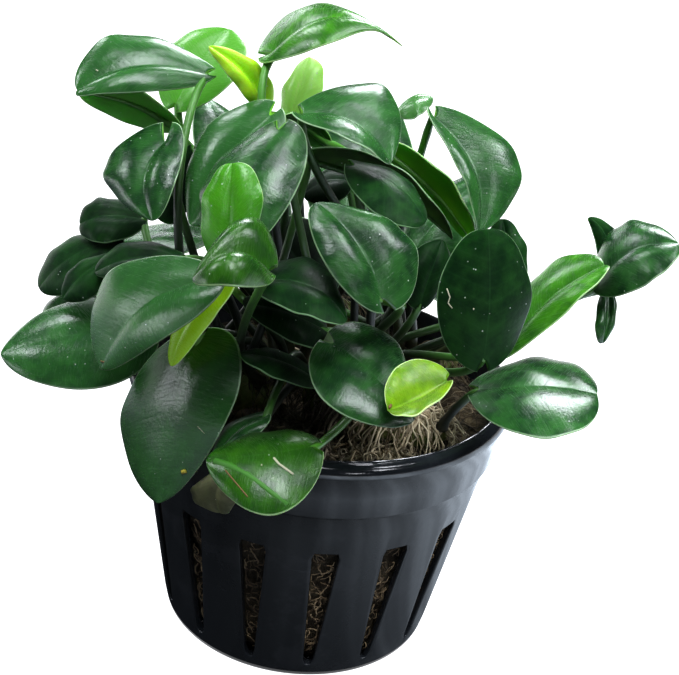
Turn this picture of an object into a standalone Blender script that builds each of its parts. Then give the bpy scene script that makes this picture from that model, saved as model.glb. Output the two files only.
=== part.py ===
# A small potted aquarium plant: a slotted net pot, its rockwool plug, four creeping rhizomes and the
# leaves that grow from them, each leaf with its own stalk.
# Units are metres, +Z is up, and the viewer of the reference picture stands on the -Y side.
# The origin is the centre of the pot's flat base.

import math

import bmesh
import bpy
import numpy as np
from mathutils import Vector
from mathutils.bvhtree import BVHTree

MM = 0.001
GAP = 0.35 * MM                     # air kept between pieces that nearly touch

# Pot
POT_HEIGHT = 39.5 * MM
LIP_RADIUS = 27.0 * MM
LIP_HEIGHT = 2.0 * MM
LIP_TOP_WIDTH = 1.7 * MM
LIP_FACE = 0.7 * MM                 # upright part of the lip; above it the lip slopes in
LIP_SLOPE = 0.9 * MM
BAND_RADIUS = 26.0 * MM             # plain band under the lip
LEDGE_HEIGHT = 31.0 * MM            # where the band steps in to the slotted wall
LEDGE_STEP = 0.6 * MM
SLOT_TOP = 24.0 * MM
SLOT_BOTTOM = 2.6 * MM
WALL = 1.0 * MM
FLOOR = 1.2 * MM
FLOOR_RADIUS = 16.8 * MM
LEDGE_ROUNDING = 0.3 * MM
BASE_FLAT_RADIUS = 18.2 * MM
WALL_RADIUS_AT_BASE = 19.5 * MM
WALL_RADIUS_AT_LEDGE = 25.0 * MM
SLOT_COUNT = 15
SLOT_WIDTH_TOP = 3.8 * MM
SLOT_WIDTH_BOTTOM = 1.3 * MM
FIRST_SLOT_ANGLE = math.radians(-81.0)

# Rockwool plug
ROCKWOOL_TOP = 35.7 * MM
ROCKWOOL_GAP = GAP + 0.25 * MM      # air between the plug and the pot's wall
LUMP_HEIGHT = 0.5 * MM
LUMP_SPACING = (3.1 * MM, 3.7 * MM)
TOP_RINGS = (22.0 * MM, 14.0 * MM, 6.0 * MM)
ROCKWOOL_SIDES = 24

# Rhizomes
RHIZOME_RADIUS = 2.9 * MM
RHIZOME_SIDES = 8
RHIZOME_RINGS = 8
RHIZOME_LIFT = 0.3 * MM             # more air under a rhizome, for the rockwool's lumps
RING_SWELLING = 0.06                # of its radius, where a rhizome swells and narrows
SWELLINGS = 4.5
STALK_STATIONS = 8                  # places along a rhizome where stalks can grow
STALK_ANGLES = (0.0, 48.0, -48.0)   # degrees from straight up, around the rhizome
SITES_TRIED = 14                    # of the free places, nearest first
FOOT_DRAWN_IN = 0.42
ROUTE_ATTEMPTS = 3
FEET = {"leaf_front_low": (9.0, -15.0), "leaf_right_low": (16.0, -15.0)}     # (x, y) in mm, as seen
FIRST_STALKS = ("leaf_upper_middle", "leaf_top_arched", "leaf_left_lime")     # they have the least room

# Leaves
STALK_RADIUS = 0.62 * MM
BLADE_THICKNESS = 0.45 * MM
WIDEST_AT = 0.42                    # share of the blade's length from the heel
FULLNESS = 0.56                     # lower makes a blade rounder at its heel and tip
MIDRIB_SWEEP = 0.55                 # how far the midrib bends towards the middle between the edges
BLADE_ROWS = (0.06, 0.2, 0.42, 0.64, 0.83, 0.95)
STALK_ROWS = (0.0, 0.2, 0.42, 0.64, 0.84)
STALK_ROOM = 0.2 * MM               # least air round a stalk
ROUTE_STEP = 0.8 * MM               # spacing of the points at which a stalk's clearance is tested

# The eye that looked at the reference picture, 679 by 675 picture points
PICTURE_WIDTH = 679
PICTURE_HEIGHT = 675
EYE_FOCAL = 1440.0                  # in picture points
EYE_DISTANCE = 200.0 * MM
EYE_ELEVATION = math.radians(26.58)
EYE_ROLL = math.radians(7.26)
EYE_AIM = np.array((1.8, 0.0, 44.0)) * MM

LEAF_COLOURS = {
    "old": (0.012, 0.060, 0.018),
    "mid": (0.025, 0.110, 0.020),
    "young": (0.180, 0.520, 0.010),
    "dried": (0.230, 0.220, 0.090),
}


def unit(vector):
    return vector / np.linalg.norm(vector)


def eye_frame():
    """Eye point, and the picture's right, up and towards-the-eye directions."""
    back = np.array((0.0, -math.cos(EYE_ELEVATION), math.sin(EYE_ELEVATION)))
    level_right = np.array((1.0, 0.0, 0.0))
    level_up = np.cross(back, level_right)
    right = math.cos(EYE_ROLL) * level_right + math.sin(EYE_ROLL) * level_up
    up = -math.sin(EYE_ROLL) * level_right + math.cos(EYE_ROLL) * level_up
    return EYE_AIM + back * EYE_DISTANCE, right, up, back


EYE, EYE_RIGHT, EYE_UP, EYE_BACK = eye_frame()


def from_picture(point):
    """Space point seen at picture point (u, v), `near` mm in front of the pot's axis."""
    u, v, near = point
    ray = (EYE_RIGHT * (u - PICTURE_WIDTH / 2) - EYE_UP * (v - PICTURE_HEIGHT / 2)) / EYE_FOCAL - EYE_BACK
    return EYE + ray * ((-near * MM - EYE[1]) / ray[1])


# Scene and mesh helpers

def clear_scene():
    for item in list(bpy.data.objects):
        bpy.data.objects.remove(item, do_unlink=True)


def principled(name, colour, roughness, metallic=0.0):
    material = bpy.data.materials.new(name)
    material.use_nodes = True
    shader = material.node_tree.nodes["Principled BSDF"]
    shader.inputs["Base Color"].default_value = (*colour, 1.0)
    shader.inputs["Roughness"].default_value = roughness
    shader.inputs["Metallic"].default_value = metallic
    return material


def add_object(name, vertices, faces, material):
    mesh = bpy.data.meshes.new(name)
    mesh.from_pydata([tuple(vertex) for vertex in vertices], [], faces)
    work = bmesh.new()
    work.from_mesh(mesh)
    bmesh.ops.recalc_face_normals(work, faces=work.faces)
    work.to_mesh(mesh)
    work.free()
    mesh.materials.append(material)
    item = bpy.data.objects.new(name, mesh)
    bpy.context.scene.collection.objects.link(item)
    mesh.shade_smooth()
    mesh.set_sharp_from_angle(angle=math.radians(40))
    return item


def join_rings(rings, tip=None):
    """Vertices and faces of a skin over rings of equal size, with a flat start and a pointed or flat end."""
    count = len(rings[0])
    vertices = [point for ring in rings for point in ring]
    faces = []
    for row in range(len(rings) - 1):
        for column in range(count):
            following = (column + 1) % count
            first, second = row * count, (row + 1) * count
            faces.append((first + column, first + following, second + following, second + column))
    last = (len(rings) - 1) * count
    faces.append(tuple(reversed(range(count))))
    if tip is None:
        faces.append(tuple(last + column for column in range(count)))
    else:
        vertices.append(tip)
        for column in range(count):
            faces.append((last + column, last + (column + 1) % count, len(vertices) - 1))
    return vertices, faces


# Pot

def wall_radius(height):
    share = height / LEDGE_HEIGHT
    return WALL_RADIUS_AT_BASE + share * (WALL_RADIUS_AT_LEDGE - WALL_RADIUS_AT_BASE)


def pot_rows():
    """The pot's profile as (radius, height) rows, up the outside and down the inside."""
    lip_low = POT_HEIGHT - LIP_HEIGHT
    outside = [
        (BASE_FLAT_RADIUS, 0.0),
        (wall_radius(SLOT_BOTTOM) - 0.2 * MM, SLOT_BOTTOM),
        (wall_radius(SLOT_TOP), SLOT_TOP),
        (WALL_RADIUS_AT_LEDGE, LEDGE_HEIGHT - LEDGE_ROUNDING),
        (WALL_RADIUS_AT_LEDGE + LEDGE_STEP, LEDGE_HEIGHT + LEDGE_ROUNDING),
        (BAND_RADIUS, lip_low),
        (LIP_RADIUS, lip_low),
        (LIP_RADIUS, lip_low + LIP_FACE),
        (LIP_RADIUS - LIP_SLOPE, POT_HEIGHT),
    ]
    inside = [
        (LIP_RADIUS - LIP_TOP_WIDTH, POT_HEIGHT),
        (BAND_RADIUS - WALL, lip_low),
        (WALL_RADIUS_AT_LEDGE - WALL, LEDGE_HEIGHT),
        (wall_radius(SLOT_TOP) - WALL, SLOT_TOP),
        (wall_radius(SLOT_BOTTOM) - 1.3 * MM, SLOT_BOTTOM + 0.6 * MM),
        (FLOOR_RADIUS, FLOOR),
    ]
    return outside, inside


def column_angles(height):
    """Angles of the pot's upright lines: each slot's two edges, and the middle of each rib."""
    share = min(1.0, max(0.0, (height - SLOT_BOTTOM) / (SLOT_TOP - SLOT_BOTTOM)))
    width = SLOT_WIDTH_BOTTOM + share * (SLOT_WIDTH_TOP - SLOT_WIDTH_BOTTOM)
    half = 0.5 * width / wall_radius(SLOT_BOTTOM + share * (SLOT_TOP - SLOT_BOTTOM))
    pitch = math.tau / SLOT_COUNT
    angles = []
    for slot in range(SLOT_COUNT):
        middle = FIRST_SLOT_ANGLE + slot * pitch
        angles += [middle - half, middle + half, middle + 0.5 * pitch]
    return angles


def make_pot():
    outside, inside = pot_rows()
    rows = outside + inside
    columns = 3 * SLOT_COUNT
    vertices = []
    for radius, height in rows:
        for angle in column_angles(height):
            vertices.append((radius * math.cos(angle), radius * math.sin(angle), height))
    outer_low, outer_high = 1, 2
    inner_high, inner_low = len(outside) + 3, len(outside) + 4
    faces = []
    for row in range(len(rows) - 1):
        for column in range(columns):
            if row in (outer_low, inner_high) and column % 3 == 0:
                continue
            following = (column + 1) % columns
            low, high = row * columns, (row + 1) * columns
            faces.append((low + column, low + following, high + following, high + column))
    for slot in range(SLOT_COUNT):
        left, right = 3 * slot, 3 * slot + 1
        loop = [row * columns for row in (outer_low, outer_high, inner_high, inner_low)]
        faces.append(tuple(row + left for row in loop))
        faces.append(tuple(row + right for row in loop))
        for near_row, far_row in ((outer_high, inner_high), (inner_low, outer_low)):
            first, second = near_row * columns, far_row * columns
            faces.append((first + left, first + right, second + right, second + left))
    vertices.append((0.0, 0.0, 0.0))
    vertices.append((0.0, 0.0, FLOOR))
    floor_row = (len(rows) - 1) * columns
    for column in range(columns):
        following = (column + 1) % columns
        faces.append((len(vertices) - 2, following, column))
        faces.append((len(vertices) - 1, floor_row + column, floor_row + following))
    return add_object("net_pot", vertices, faces, principled("pot_plastic", (0.012, 0.014, 0.018), 0.25))


# Rockwool

def surface_lumps(x, y):
    """Height of the rockwool's uneven top above its mean, at a place on it."""
    return LUMP_HEIGHT * math.sin(x / LUMP_SPACING[0] + 0.7) * math.cos(y / LUMP_SPACING[1] - 0.4)


def inner_radius(height):
    """Radius of the pot's inner wall at a height."""
    inside = sorted(pot_rows()[1], key=lambda row: row[1])
    return float(np.interp(height, [row[1] for row in inside], [row[0] for row in inside]))


def make_rockwool():
    loops = []
    for height in (FLOOR + GAP, 3.6 * MM, SLOT_TOP, LEDGE_HEIGHT, ROCKWOOL_TOP - 0.8 * MM):
        radius = inner_radius(height) - ROCKWOOL_GAP
        loops.append([turned_point(radius, height, side) for side in range(ROCKWOOL_SIDES)])
    for radius in TOP_RINGS:
        loop = []
        for side in range(ROCKWOOL_SIDES):
            x, y, z = turned_point(radius, ROCKWOOL_TOP, side)
            loop.append((x, y, z + surface_lumps(x, y) - LUMP_HEIGHT))
        loops.append(loop)
    vertices, faces = join_rings(loops, tip=(0.0, 0.0, ROCKWOOL_TOP - 0.3 * MM))
    return add_object("rockwool", vertices, faces, principled("rockwool", (0.22, 0.19, 0.11), 0.9))


def turned_point(radius, height, side):
    angle = math.tau * side / ROCKWOOL_SIDES
    return (radius * math.cos(angle), radius * math.sin(angle), height)


# Rhizomes: each a lumpy root-stock along a short curve on the rockwool, (x, y) in mm, start to growing tip

RHIZOMES = {
    "rhizome_front": ((-1.0, -5.0), (7.0, -13.0), (17.5, -13.5)),
    "rhizome_left": ((-5.0, -2.0), (-10.0, -9.0), (-19.0, -6.0)),
    "rhizome_back": ((-8.0, 6.0), (-4.0, 14.0), (4.0, 18.5)),
    "rhizome_right": ((4.0, 2.0), (11.0, 2.0), (18.5, 7.0)),
}
RHIZOME_HEIGHT = ROCKWOOL_TOP + GAP + RHIZOME_RADIUS + RHIZOME_LIFT


def rhizome_point(name, share):
    """Centre of a rhizome and its direction at a share of its length, on the curve through three points."""
    start, middle, end = (np.array(point) * MM for point in RHIZOMES[name])
    control = 2 * middle - 0.5 * (start + end)
    place = (1 - share) ** 2 * start + 2 * share * (1 - share) * control + share ** 2 * end
    along = 2 * (1 - share) * (control - start) + 2 * share * (end - control)
    return np.array((*place, RHIZOME_HEIGHT)), unit(np.array((*along, 0.0)))


def rhizome_radius(share):
    """Radius at a share of the length; both ends taper off and the body swells and narrows a little."""
    body = min(1.0, 6.0 * share + 0.45, 5.0 * (1.0 - share) + 0.35)
    return RHIZOME_RADIUS * body * (1.0 - RING_SWELLING * math.cos(math.tau * SWELLINGS * share))


def make_rhizomes():
    made = []
    for name in RHIZOMES:
        rings = []
        for row in range(RHIZOME_RINGS):
            share = row / (RHIZOME_RINGS - 1)
            centre, along = rhizome_point(name, share)
            side = unit(np.cross(along, (0.0, 0.0, 1.0)))
            ring = []
            for step in range(RHIZOME_SIDES):
                angle = math.tau * step / RHIZOME_SIDES
                offset = side * math.cos(angle) + np.array((0.0, 0.0, 1.0)) * math.sin(angle)
                ring.append(centre + offset * rhizome_radius(share))
            rings.append(ring)
        vertices, faces = join_rings(rings)
        made.append(add_object(name, vertices, faces, principled(name, (0.16, 0.19, 0.05), 0.6)))
    return made


# Leaves: the picture gives each blade's heel (where its stalk joins), its tip and its two widest edges.
# A point is (u, v, near): a picture point, and how many mm it lies in front of the pot's axis.

LEAVES = []


def leaf(name, heel, tip, edges, top_seen=True, arch=1.0, crown=0.5, lobe=0.1, droop=0.0, point=0.0,
         age="old"):
    """A leaf placed by four picture points. `top_seen` says whether the viewer sees its upper face."""
    add_leaf(name, from_picture(heel), from_picture(tip), [from_picture(edge) for edge in edges],
             EYE_BACK if top_seen else -EYE_BACK, arch, crown, lobe, droop, point, age)


def hidden_leaf(name, azimuth, reach, height, length, width, lean, roll=0.0, swing=0.0, arch=1.5, age="old"):
    """A leaf that the picture doesn't show: its heel at `reach` and `height` mm, its blade `lean` degrees
    above level (below where negative), swung sideways by `swing` and rolled about its length."""
    outward = math.radians(azimuth)
    heading = math.radians(azimuth + swing)
    rise, turn = math.radians(lean), math.radians(roll)
    heel = np.array((reach * math.cos(outward), reach * math.sin(outward), height)) * MM
    along = np.array((math.cos(rise) * math.cos(heading), math.cos(rise) * math.sin(heading), math.sin(rise)))
    level = np.array((-math.sin(heading), math.cos(heading), 0.0))
    above = np.cross(along, level)
    side = level * math.cos(turn) + above * math.sin(turn)
    tip = heel + along * length * MM
    widest = heel + along * length * MM * WIDEST_AT
    edges = [widest + side * width * 0.5 * MM, widest - side * width * 0.5 * MM]
    add_leaf(name, heel, tip, edges, above, arch, 0.5, 0.1, 0.0, 0.0, age)


def add_leaf(name, heel, tip, edges, facing, arch, crown, lobe, droop, point, age):
    normal = unit(np.cross(tip - heel, edges[1] - edges[0]))
    if np.dot(normal, facing) < 0:
        normal = -normal
        edges = edges[::-1]
    along = unit(tip - heel)
    aside = 0.5 * (edges[0] + edges[1]) - (heel * (1 - WIDEST_AT) + tip * WIDEST_AT)
    aside = aside - along * np.dot(aside, along) - normal * np.dot(aside, normal)
    LEAVES.append({
        "name": name, "heel": heel, "tip": tip, "edges": edges, "normal": normal,
        "sweep": aside * MIDRIB_SWEEP / (4 * WIDEST_AT * (1 - WIDEST_AT)),
        "arch": arch * MM, "crown": crown * MM, "lobe": lobe, "droop": droop * MM, "point": point,
        "age": age,
    })


def half_width_share(share, point):
    """Half width of an egg-shaped blade at a share of its length, as a share of its widest half.
    A higher `point` draws the tip out longer and thinner."""
    bent = share ** (math.log(0.5) / math.log(WIDEST_AT))
    fullness = FULLNESS * (1.0 + point) if share > WIDEST_AT else FULLNESS
    return max(0.0, math.sin(math.pi * bent)) ** fullness


def midrib(blade, share):
    bow = 4 * share * (1 - share)
    rise = blade["arch"] * bow - blade["droop"] * share ** 3
    straight = blade["heel"] * (1 - share) + blade["tip"] * share
    return straight + blade["normal"] * rise + blade["sweep"] * bow


def blade_point(blade, share, across):
    """Point of the blade's middle surface; `across` runs from -1 at one edge through the midrib to 1."""
    edge = blade["edges"][0] if across < 0 else blade["edges"][1]
    reach = edge - midrib(blade, WIDEST_AT)
    along = blade["tip"] - blade["heel"]
    backward = blade["lobe"] * across ** 2 * max(0.0, 1 - share / WIDEST_AT) ** 2
    width = half_width_share(share, blade["point"])
    bulge = blade["crown"] * 4 * abs(across) * (1 - abs(across)) * width
    place = midrib(blade, share) + reach * abs(across) * width
    return place - along * backward + blade["normal"] * bulge


def blade_ring(blade, share):
    """Six points round the blade: edge, quarter, midrib, quarter and edge above, and the midrib below."""
    slim = min(1.0, 3.0 * (1.0 - share) + 0.25)
    under = blade_point(blade, share, 0.0) - blade["normal"] * BLADE_THICKNESS * slim
    upper = [blade_point(blade, share, across) for across in (-1.0, -0.5, 0.0, 0.5, 1.0)]
    return upper + [under]


def blade_skin(blade):
    """The blade alone, as a closed skin from its heel to its tip."""
    return join_rings([blade_ring(blade, share) for share in BLADE_ROWS], tip=blade["tip"] + tip_shift(blade))


def tip_shift(blade):
    return -blade["normal"] * blade["droop"]


# Blades push each other apart along the line of sight until air is left between all of them

def shift_blade(blade, offset):
    for key in ("heel", "tip"):
        blade[key] = blade[key] + offset
    blade["edges"] = [edge + offset for edge in blade["edges"]]


def view_push(blade, distance):
    """Shift that moves a blade towards the eye without moving it in the picture."""
    middle = 0.5 * (blade["heel"] + blade["tip"])
    return unit(EYE - middle) * distance


def skin_tree(blade):
    vertices, faces = blade_skin(blade)
    return BVHTree.FromPolygons([Vector(vertex) for vertex in vertices], faces), vertices


def sample_points(blade):
    points = []
    for share in (0.06, 0.2, 0.35, 0.5, 0.64, 0.8, 0.92):
        for across in (-1.0, -0.5, 0.0, 0.5, 1.0):
            points.append(blade_point(blade, share, across))
    points.append(blade["tip"] + tip_shift(blade))
    return points


def solid_tree(item):
    mesh = item.data
    return BVHTree.FromPolygons([vertex.co for vertex in mesh.vertices],
                                [tuple(face.vertices) for face in mesh.polygons])


def too_close(first, second):
    """Whether two blades cross or leave less air than the gap; each is (tree, points)."""
    if first[0].overlap(second[0]):
        return True
    reach = 1.2 * GAP + 0.25 * BLADE_THICKNESS
    for tree, points in ((first[0], second[1]), (second[0], first[1])):
        for point in points:
            if tree.find_nearest(Vector(point), reach)[0] is not None:
                return True
    return False


def nearness(blade):
    middle = 0.25 * (blade["heel"] + blade["tip"] + blade["edges"][0] + blade["edges"][1])
    return float(np.dot(EYE_BACK, middle))


def spread_blades(fixed):
    """Blades that nearly touch move apart; one that nearly touches the pot's pieces moves forward."""
    step = 0.3 * MM
    shapes = [(skin_tree(blade)[0], sample_points(blade)) for blade in LEAVES]
    boxes = [blade_box(blade) for blade in LEAVES]
    for turn in range(80):
        moves = [0.0] * len(LEAVES)
        for first in range(len(LEAVES)):
            for tree in fixed:
                if boxes[first][0][2] < POT_HEIGHT + 4 * MM and too_close(shapes[first], (tree, [])):
                    moves[first] += step
            for second in range(first + 1, len(LEAVES)):
                if boxes_meet(boxes[first], boxes[second]) and too_close(shapes[first], shapes[second]):
                    sign = 1 if nearness(LEAVES[first]) > nearness(LEAVES[second]) else -1
                    moves[first] += sign * step
                    moves[second] -= sign * step
        if not any(moves):
            return turn
        for index, move in enumerate(moves):
            if move:
                move = max(-2 * step, min(2 * step, move))
                shift_blade(LEAVES[index], view_push(LEAVES[index], move))
                shapes[index] = (skin_tree(LEAVES[index])[0], sample_points(LEAVES[index]))
                boxes[index] = blade_box(LEAVES[index])
    print("some blades still nearly touch")
    return turn


def blade_box(blade):
    points = np.array(sample_points(blade))
    return points.min(axis=0) - GAP, points.max(axis=0) + GAP


def boxes_meet(first, second):
    return bool(np.all(first[0] <= second[1]) and np.all(second[0] <= first[1]))


# Stalks

def stalk_sites():
    """Places on the rhizomes where stalks can start, as (point, direction away from the rhizome)."""
    sites = []
    for name in RHIZOMES:
        for station in range(STALK_STATIONS):
            share = 0.06 + 0.88 * station / (STALK_STATIONS - 1)
            centre, along = rhizome_point(name, share)
            side = unit(np.cross(along, (0.0, 0.0, 1.0)))
            for degrees in STALK_ANGLES:
                turn = math.radians(degrees)
                away = np.array((0.0, 0.0, 1.0)) * math.cos(turn) + side * math.sin(turn)
                sites.append((centre + away * (rhizome_radius(share) + GAP + 0.2 * MM), away))
    return sites


def curve_point(route, share):
    first, second, third, fourth = route
    rest = 1 - share
    inner = 3 * rest ** 2 * share * second + 3 * rest * share ** 2 * third
    return rest ** 3 * first + inner + share ** 3 * fourth


def stalk_route(site, blade, sideways, lift):
    """The four control points of a stalk from a rhizome to its blade's heel."""
    start, away = site
    heel = blade["heel"]
    span = heel - start
    distance = np.linalg.norm(span)
    along = unit(blade["tip"] - blade["heel"])
    arriving = unit(0.3 * along + unit(span + np.array((0.0, 0.0, 0.25 * distance))))
    across = np.cross(unit(span), (0.0, 0.0, 1.0))
    across = unit(across) if np.linalg.norm(across) > 0.05 else np.array((1.0, 0.0, 0.0))
    bend = across * sideways + np.array((0.0, 0.0, 1.0)) * lift
    leaving = unit(away + np.array((0.0, 0.0, 0.6)))
    return (start, start + leaving * 0.3 * distance + bend, heel - arriving * 0.32 * distance + bend, heel)


def route_points(route):
    """Close points along the straight runs between a stalk's rows, as its solid has them."""
    rows = [curve_point(route, share) for share in STALK_ROWS] + [route[3]]
    points = []
    for start, end in zip(rows, rows[1:]):
        steps = max(2, int(np.linalg.norm(end - start) / ROUTE_STEP))
        points += [start + (end - start) * step / steps for step in range(steps)]
    return np.array(points + [route[3]])


class Obstacles:
    """Everything that a stalk has to pass clear of."""

    def __init__(self, fixed):
        self.fixed = fixed
        self.blades = [skin_tree(blade)[0] for blade in LEAVES]
        self.boxes = [blade_box(blade) for blade in LEAVES]
        self.stalks = []

    def room(self, index, points, beaten=0.0):
        """Least air round a stalk's points, up to 1.5 mm, or any value that is no better than `beaten`."""
        least = 1.5 * MM
        reach = STALK_RADIUS + least
        low, high = points.min(axis=0) - reach, points.max(axis=0) + reach
        for stalk in self.stalks:
            gaps = np.linalg.norm(points[:, None, :] - stalk[None, :, :], axis=2)
            least = min(least, float(gaps.min()) - 2 * STALK_RADIUS)
            if least <= beaten:
                return least
        clear_of_start = np.linalg.norm(points - points[0], axis=1) > 1.3 * MM
        for tree in self.fixed:
            for point in points[clear_of_start]:
                distance = tree.find_nearest(Vector(point), reach)[3]
                if distance is not None:
                    least = min(least, distance - STALK_RADIUS)
            if least <= beaten:
                return least
        clear_of_heel = np.linalg.norm(points - points[-1], axis=1) > 3.0 * MM
        for other, tree in enumerate(self.blades):
            box = self.boxes[other]
            if np.any(low > box[1]) or np.any(box[0] > high):
                continue
            for point in points[clear_of_heel] if other == index else points:
                if np.any(point + reach < box[0]) or np.any(point - reach > box[1]):
                    continue
                distance = tree.find_nearest(Vector(point), reach)[3]
                if distance is not None:
                    least = min(least, distance - STALK_RADIUS)
            if least <= beaten:
                return least
        return least


def ideal_foot(blade):
    """Where a stalk would like to start: where the picture shows it, or under its blade's heel and drawn in
    towards the pot's axis."""
    if blade["name"] in FEET:
        return np.array(FEET[blade["name"]]) * MM
    return blade["heel"][:2] * FOOT_DRAWN_IN


def stalk_order():
    """The order in which stalks choose their route: the far-reaching and low ones first."""
    reach = [float(np.linalg.norm(blade["heel"][:2])) - 0.4 * float(blade["heel"][2]) for blade in LEAVES]
    late = [blade["name"] not in FIRST_STALKS for blade in LEAVES]
    return sorted(range(len(LEAVES)), key=lambda index: (late[index], -reach[index]))


def stalk_bends():
    """Sideways and upward bends of a stalk, the slightest first."""
    bends = [(0.0, 0.0)]
    for size in (2.0, 4.0, 6.0, 8.5, 11.0):
        for sideways, lift in ((1, 0), (-1, 0), (0, 1), (1, 1), (-1, 1), (0, -0.5), (1, -0.5), (-1, -0.5)):
            bends.append((sideways * size * MM, lift * size * MM))
    return bends


def choose_routes(fixed):
    """Routes for all stalks; those that found too little room choose first in the next attempt."""
    order = stalk_order()
    for attempt in range(ROUTE_ATTEMPTS):
        routes, cramped = try_routes(fixed, order)
        if not cramped:
            return routes
        order = cramped + [index for index in order if index not in cramped]
    print("stalks with too little room:", [LEAVES[index]["name"] for index in cramped])
    return routes


def try_routes(fixed, order):
    """Each stalk takes the first site and bend, in order of nearness, that leaves it enough air."""
    obstacles = Obstacles(fixed)
    free = stalk_sites()
    routes = [None] * len(LEAVES)
    cramped = []
    for index in order:
        blade = LEAVES[index]
        foot = ideal_foot(blade)
        free.sort(key=lambda site: float(np.linalg.norm(site[0][:2] - foot)))
        best = None
        for rank, site in enumerate(free[:SITES_TRIED]):
            for sideways, lift in stalk_bends():
                route = stalk_route(site, blade, sideways, lift)
                points = route_points(route)
                room = obstacles.room(index, points, best[0] if best else -1.0)
                if best is None or room > best[0]:
                    best = (room, rank, (site[1], route), points)
                if room > STALK_ROOM:
                    break
            if best[0] > STALK_ROOM:
                break
        room, rank, routes[index], points = best
        if room <= STALK_ROOM:
            cramped.append(index)
        obstacles.stalks.append(points)
        free.pop(rank)
    return routes, cramped


def stalk_ring(centre, along, side):
    """Six points round a stalk, in the order of a blade's ring."""
    above = unit(np.cross(along, side))
    ring = []
    for degrees in (210, 150, 90, 30, -30, -90):
        turn = math.radians(degrees)
        ring.append(centre + (side * math.cos(turn) + above * math.sin(turn)) * STALK_RADIUS)
    return ring


def leaf_rings(blade, away, route):
    side = unit(blade["edges"][1] - blade["edges"][0])
    axis = unit(blade["tip"] - blade["heel"])
    arriving = unit(route[3] - route[2])
    turn = unit(arriving + axis)
    rings = [stalk_ring(blade["heel"], turn, unit(side - turn * np.dot(side, turn)))]
    for share in reversed(STALK_ROWS):
        along = unit(curve_point(route, share + 0.01) - curve_point(route, share)) if share else away
        side = unit(side - along * np.dot(side, along))
        rings.insert(0, stalk_ring(curve_point(route, share), along, side))
    return rings + [blade_ring(blade, share) for share in BLADE_ROWS]


def make_leaves(fixed):
    spread_blades(fixed)
    routes = choose_routes(fixed)
    materials = {age: principled("leaf_" + age, colour, 0.35) for age, colour in LEAF_COLOURS.items()}
    for blade, (away, route) in zip(LEAVES, routes):
        rings = leaf_rings(blade, away, route)
        vertices, faces = join_rings(rings, tip=blade["tip"] + tip_shift(blade))
        add_object(blade["name"], vertices, faces, materials[blade["age"]])


def place_top_leaves():
    leaf("leaf_top_left", (206, 74, 3), (77, 90, 7), ((124, 32, 0), (130, 92, 8)), arch=1.6)
    leaf("leaf_top_left_under", (172, 122, -1), (79, 92, 3), ((132, 84, 5), (128, 122, -1)),
         top_seen=False, age="mid")
    leaf("leaf_top_pale", (176, 104, -5), (228, 29, -12), ((165, 50, -12), (239, 72, -5)), age="mid")
    leaf("leaf_top_rolled", (266, 110, 3), (209, 46, 5), ((266, 70, 1), (240, 91, 6)), crown=1.0,
         lobe=0.02, age="young")
    leaf("leaf_top_arched", (271, 53, 3), (400, 36, 8), ((311, 2, -6), (318, 46, 9)), arch=3.2,
         droop=1.3, point=3.2, age="mid")
    leaf("leaf_top_small", (291, 118, -4), (309, 57, -9), ((281, 92, -7), (324, 88, -7)), lobe=0.03,
         age="young")
    leaf("leaf_top_right", (302, 114, 13), (391, 163, 17), ((382, 84, 6), (343, 135, 19)), arch=1.5)
    leaf("leaf_top_under", (326, 140, 1), (282, 116, 8), ((300, 141, 2), (313, 116, 5)),
         top_seen=False, age="mid")
    leaf("leaf_right_long", (310, 156, 10), (454, 240, 10), ((388, 159, 13), (380, 181, 5)), arch=2.0,
         top_seen=False, lobe=0.04)
    leaf("leaf_right_underside", (390, 150, 2), (474, 243, 8), ((446, 172, 8), (431, 202, 2)),
         top_seen=False, age="mid")
    leaf("leaf_right_edge_on", (396, 112, -6), (433, 98, -8), ((414, 100, -10), (417, 115, -3)),
         lobe=0.03)
    leaf("leaf_right_pendant", (434, 117, 3), (479, 232, 10), ((460, 168, 9), (518, 155, 2)), arch=1.4)


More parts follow.
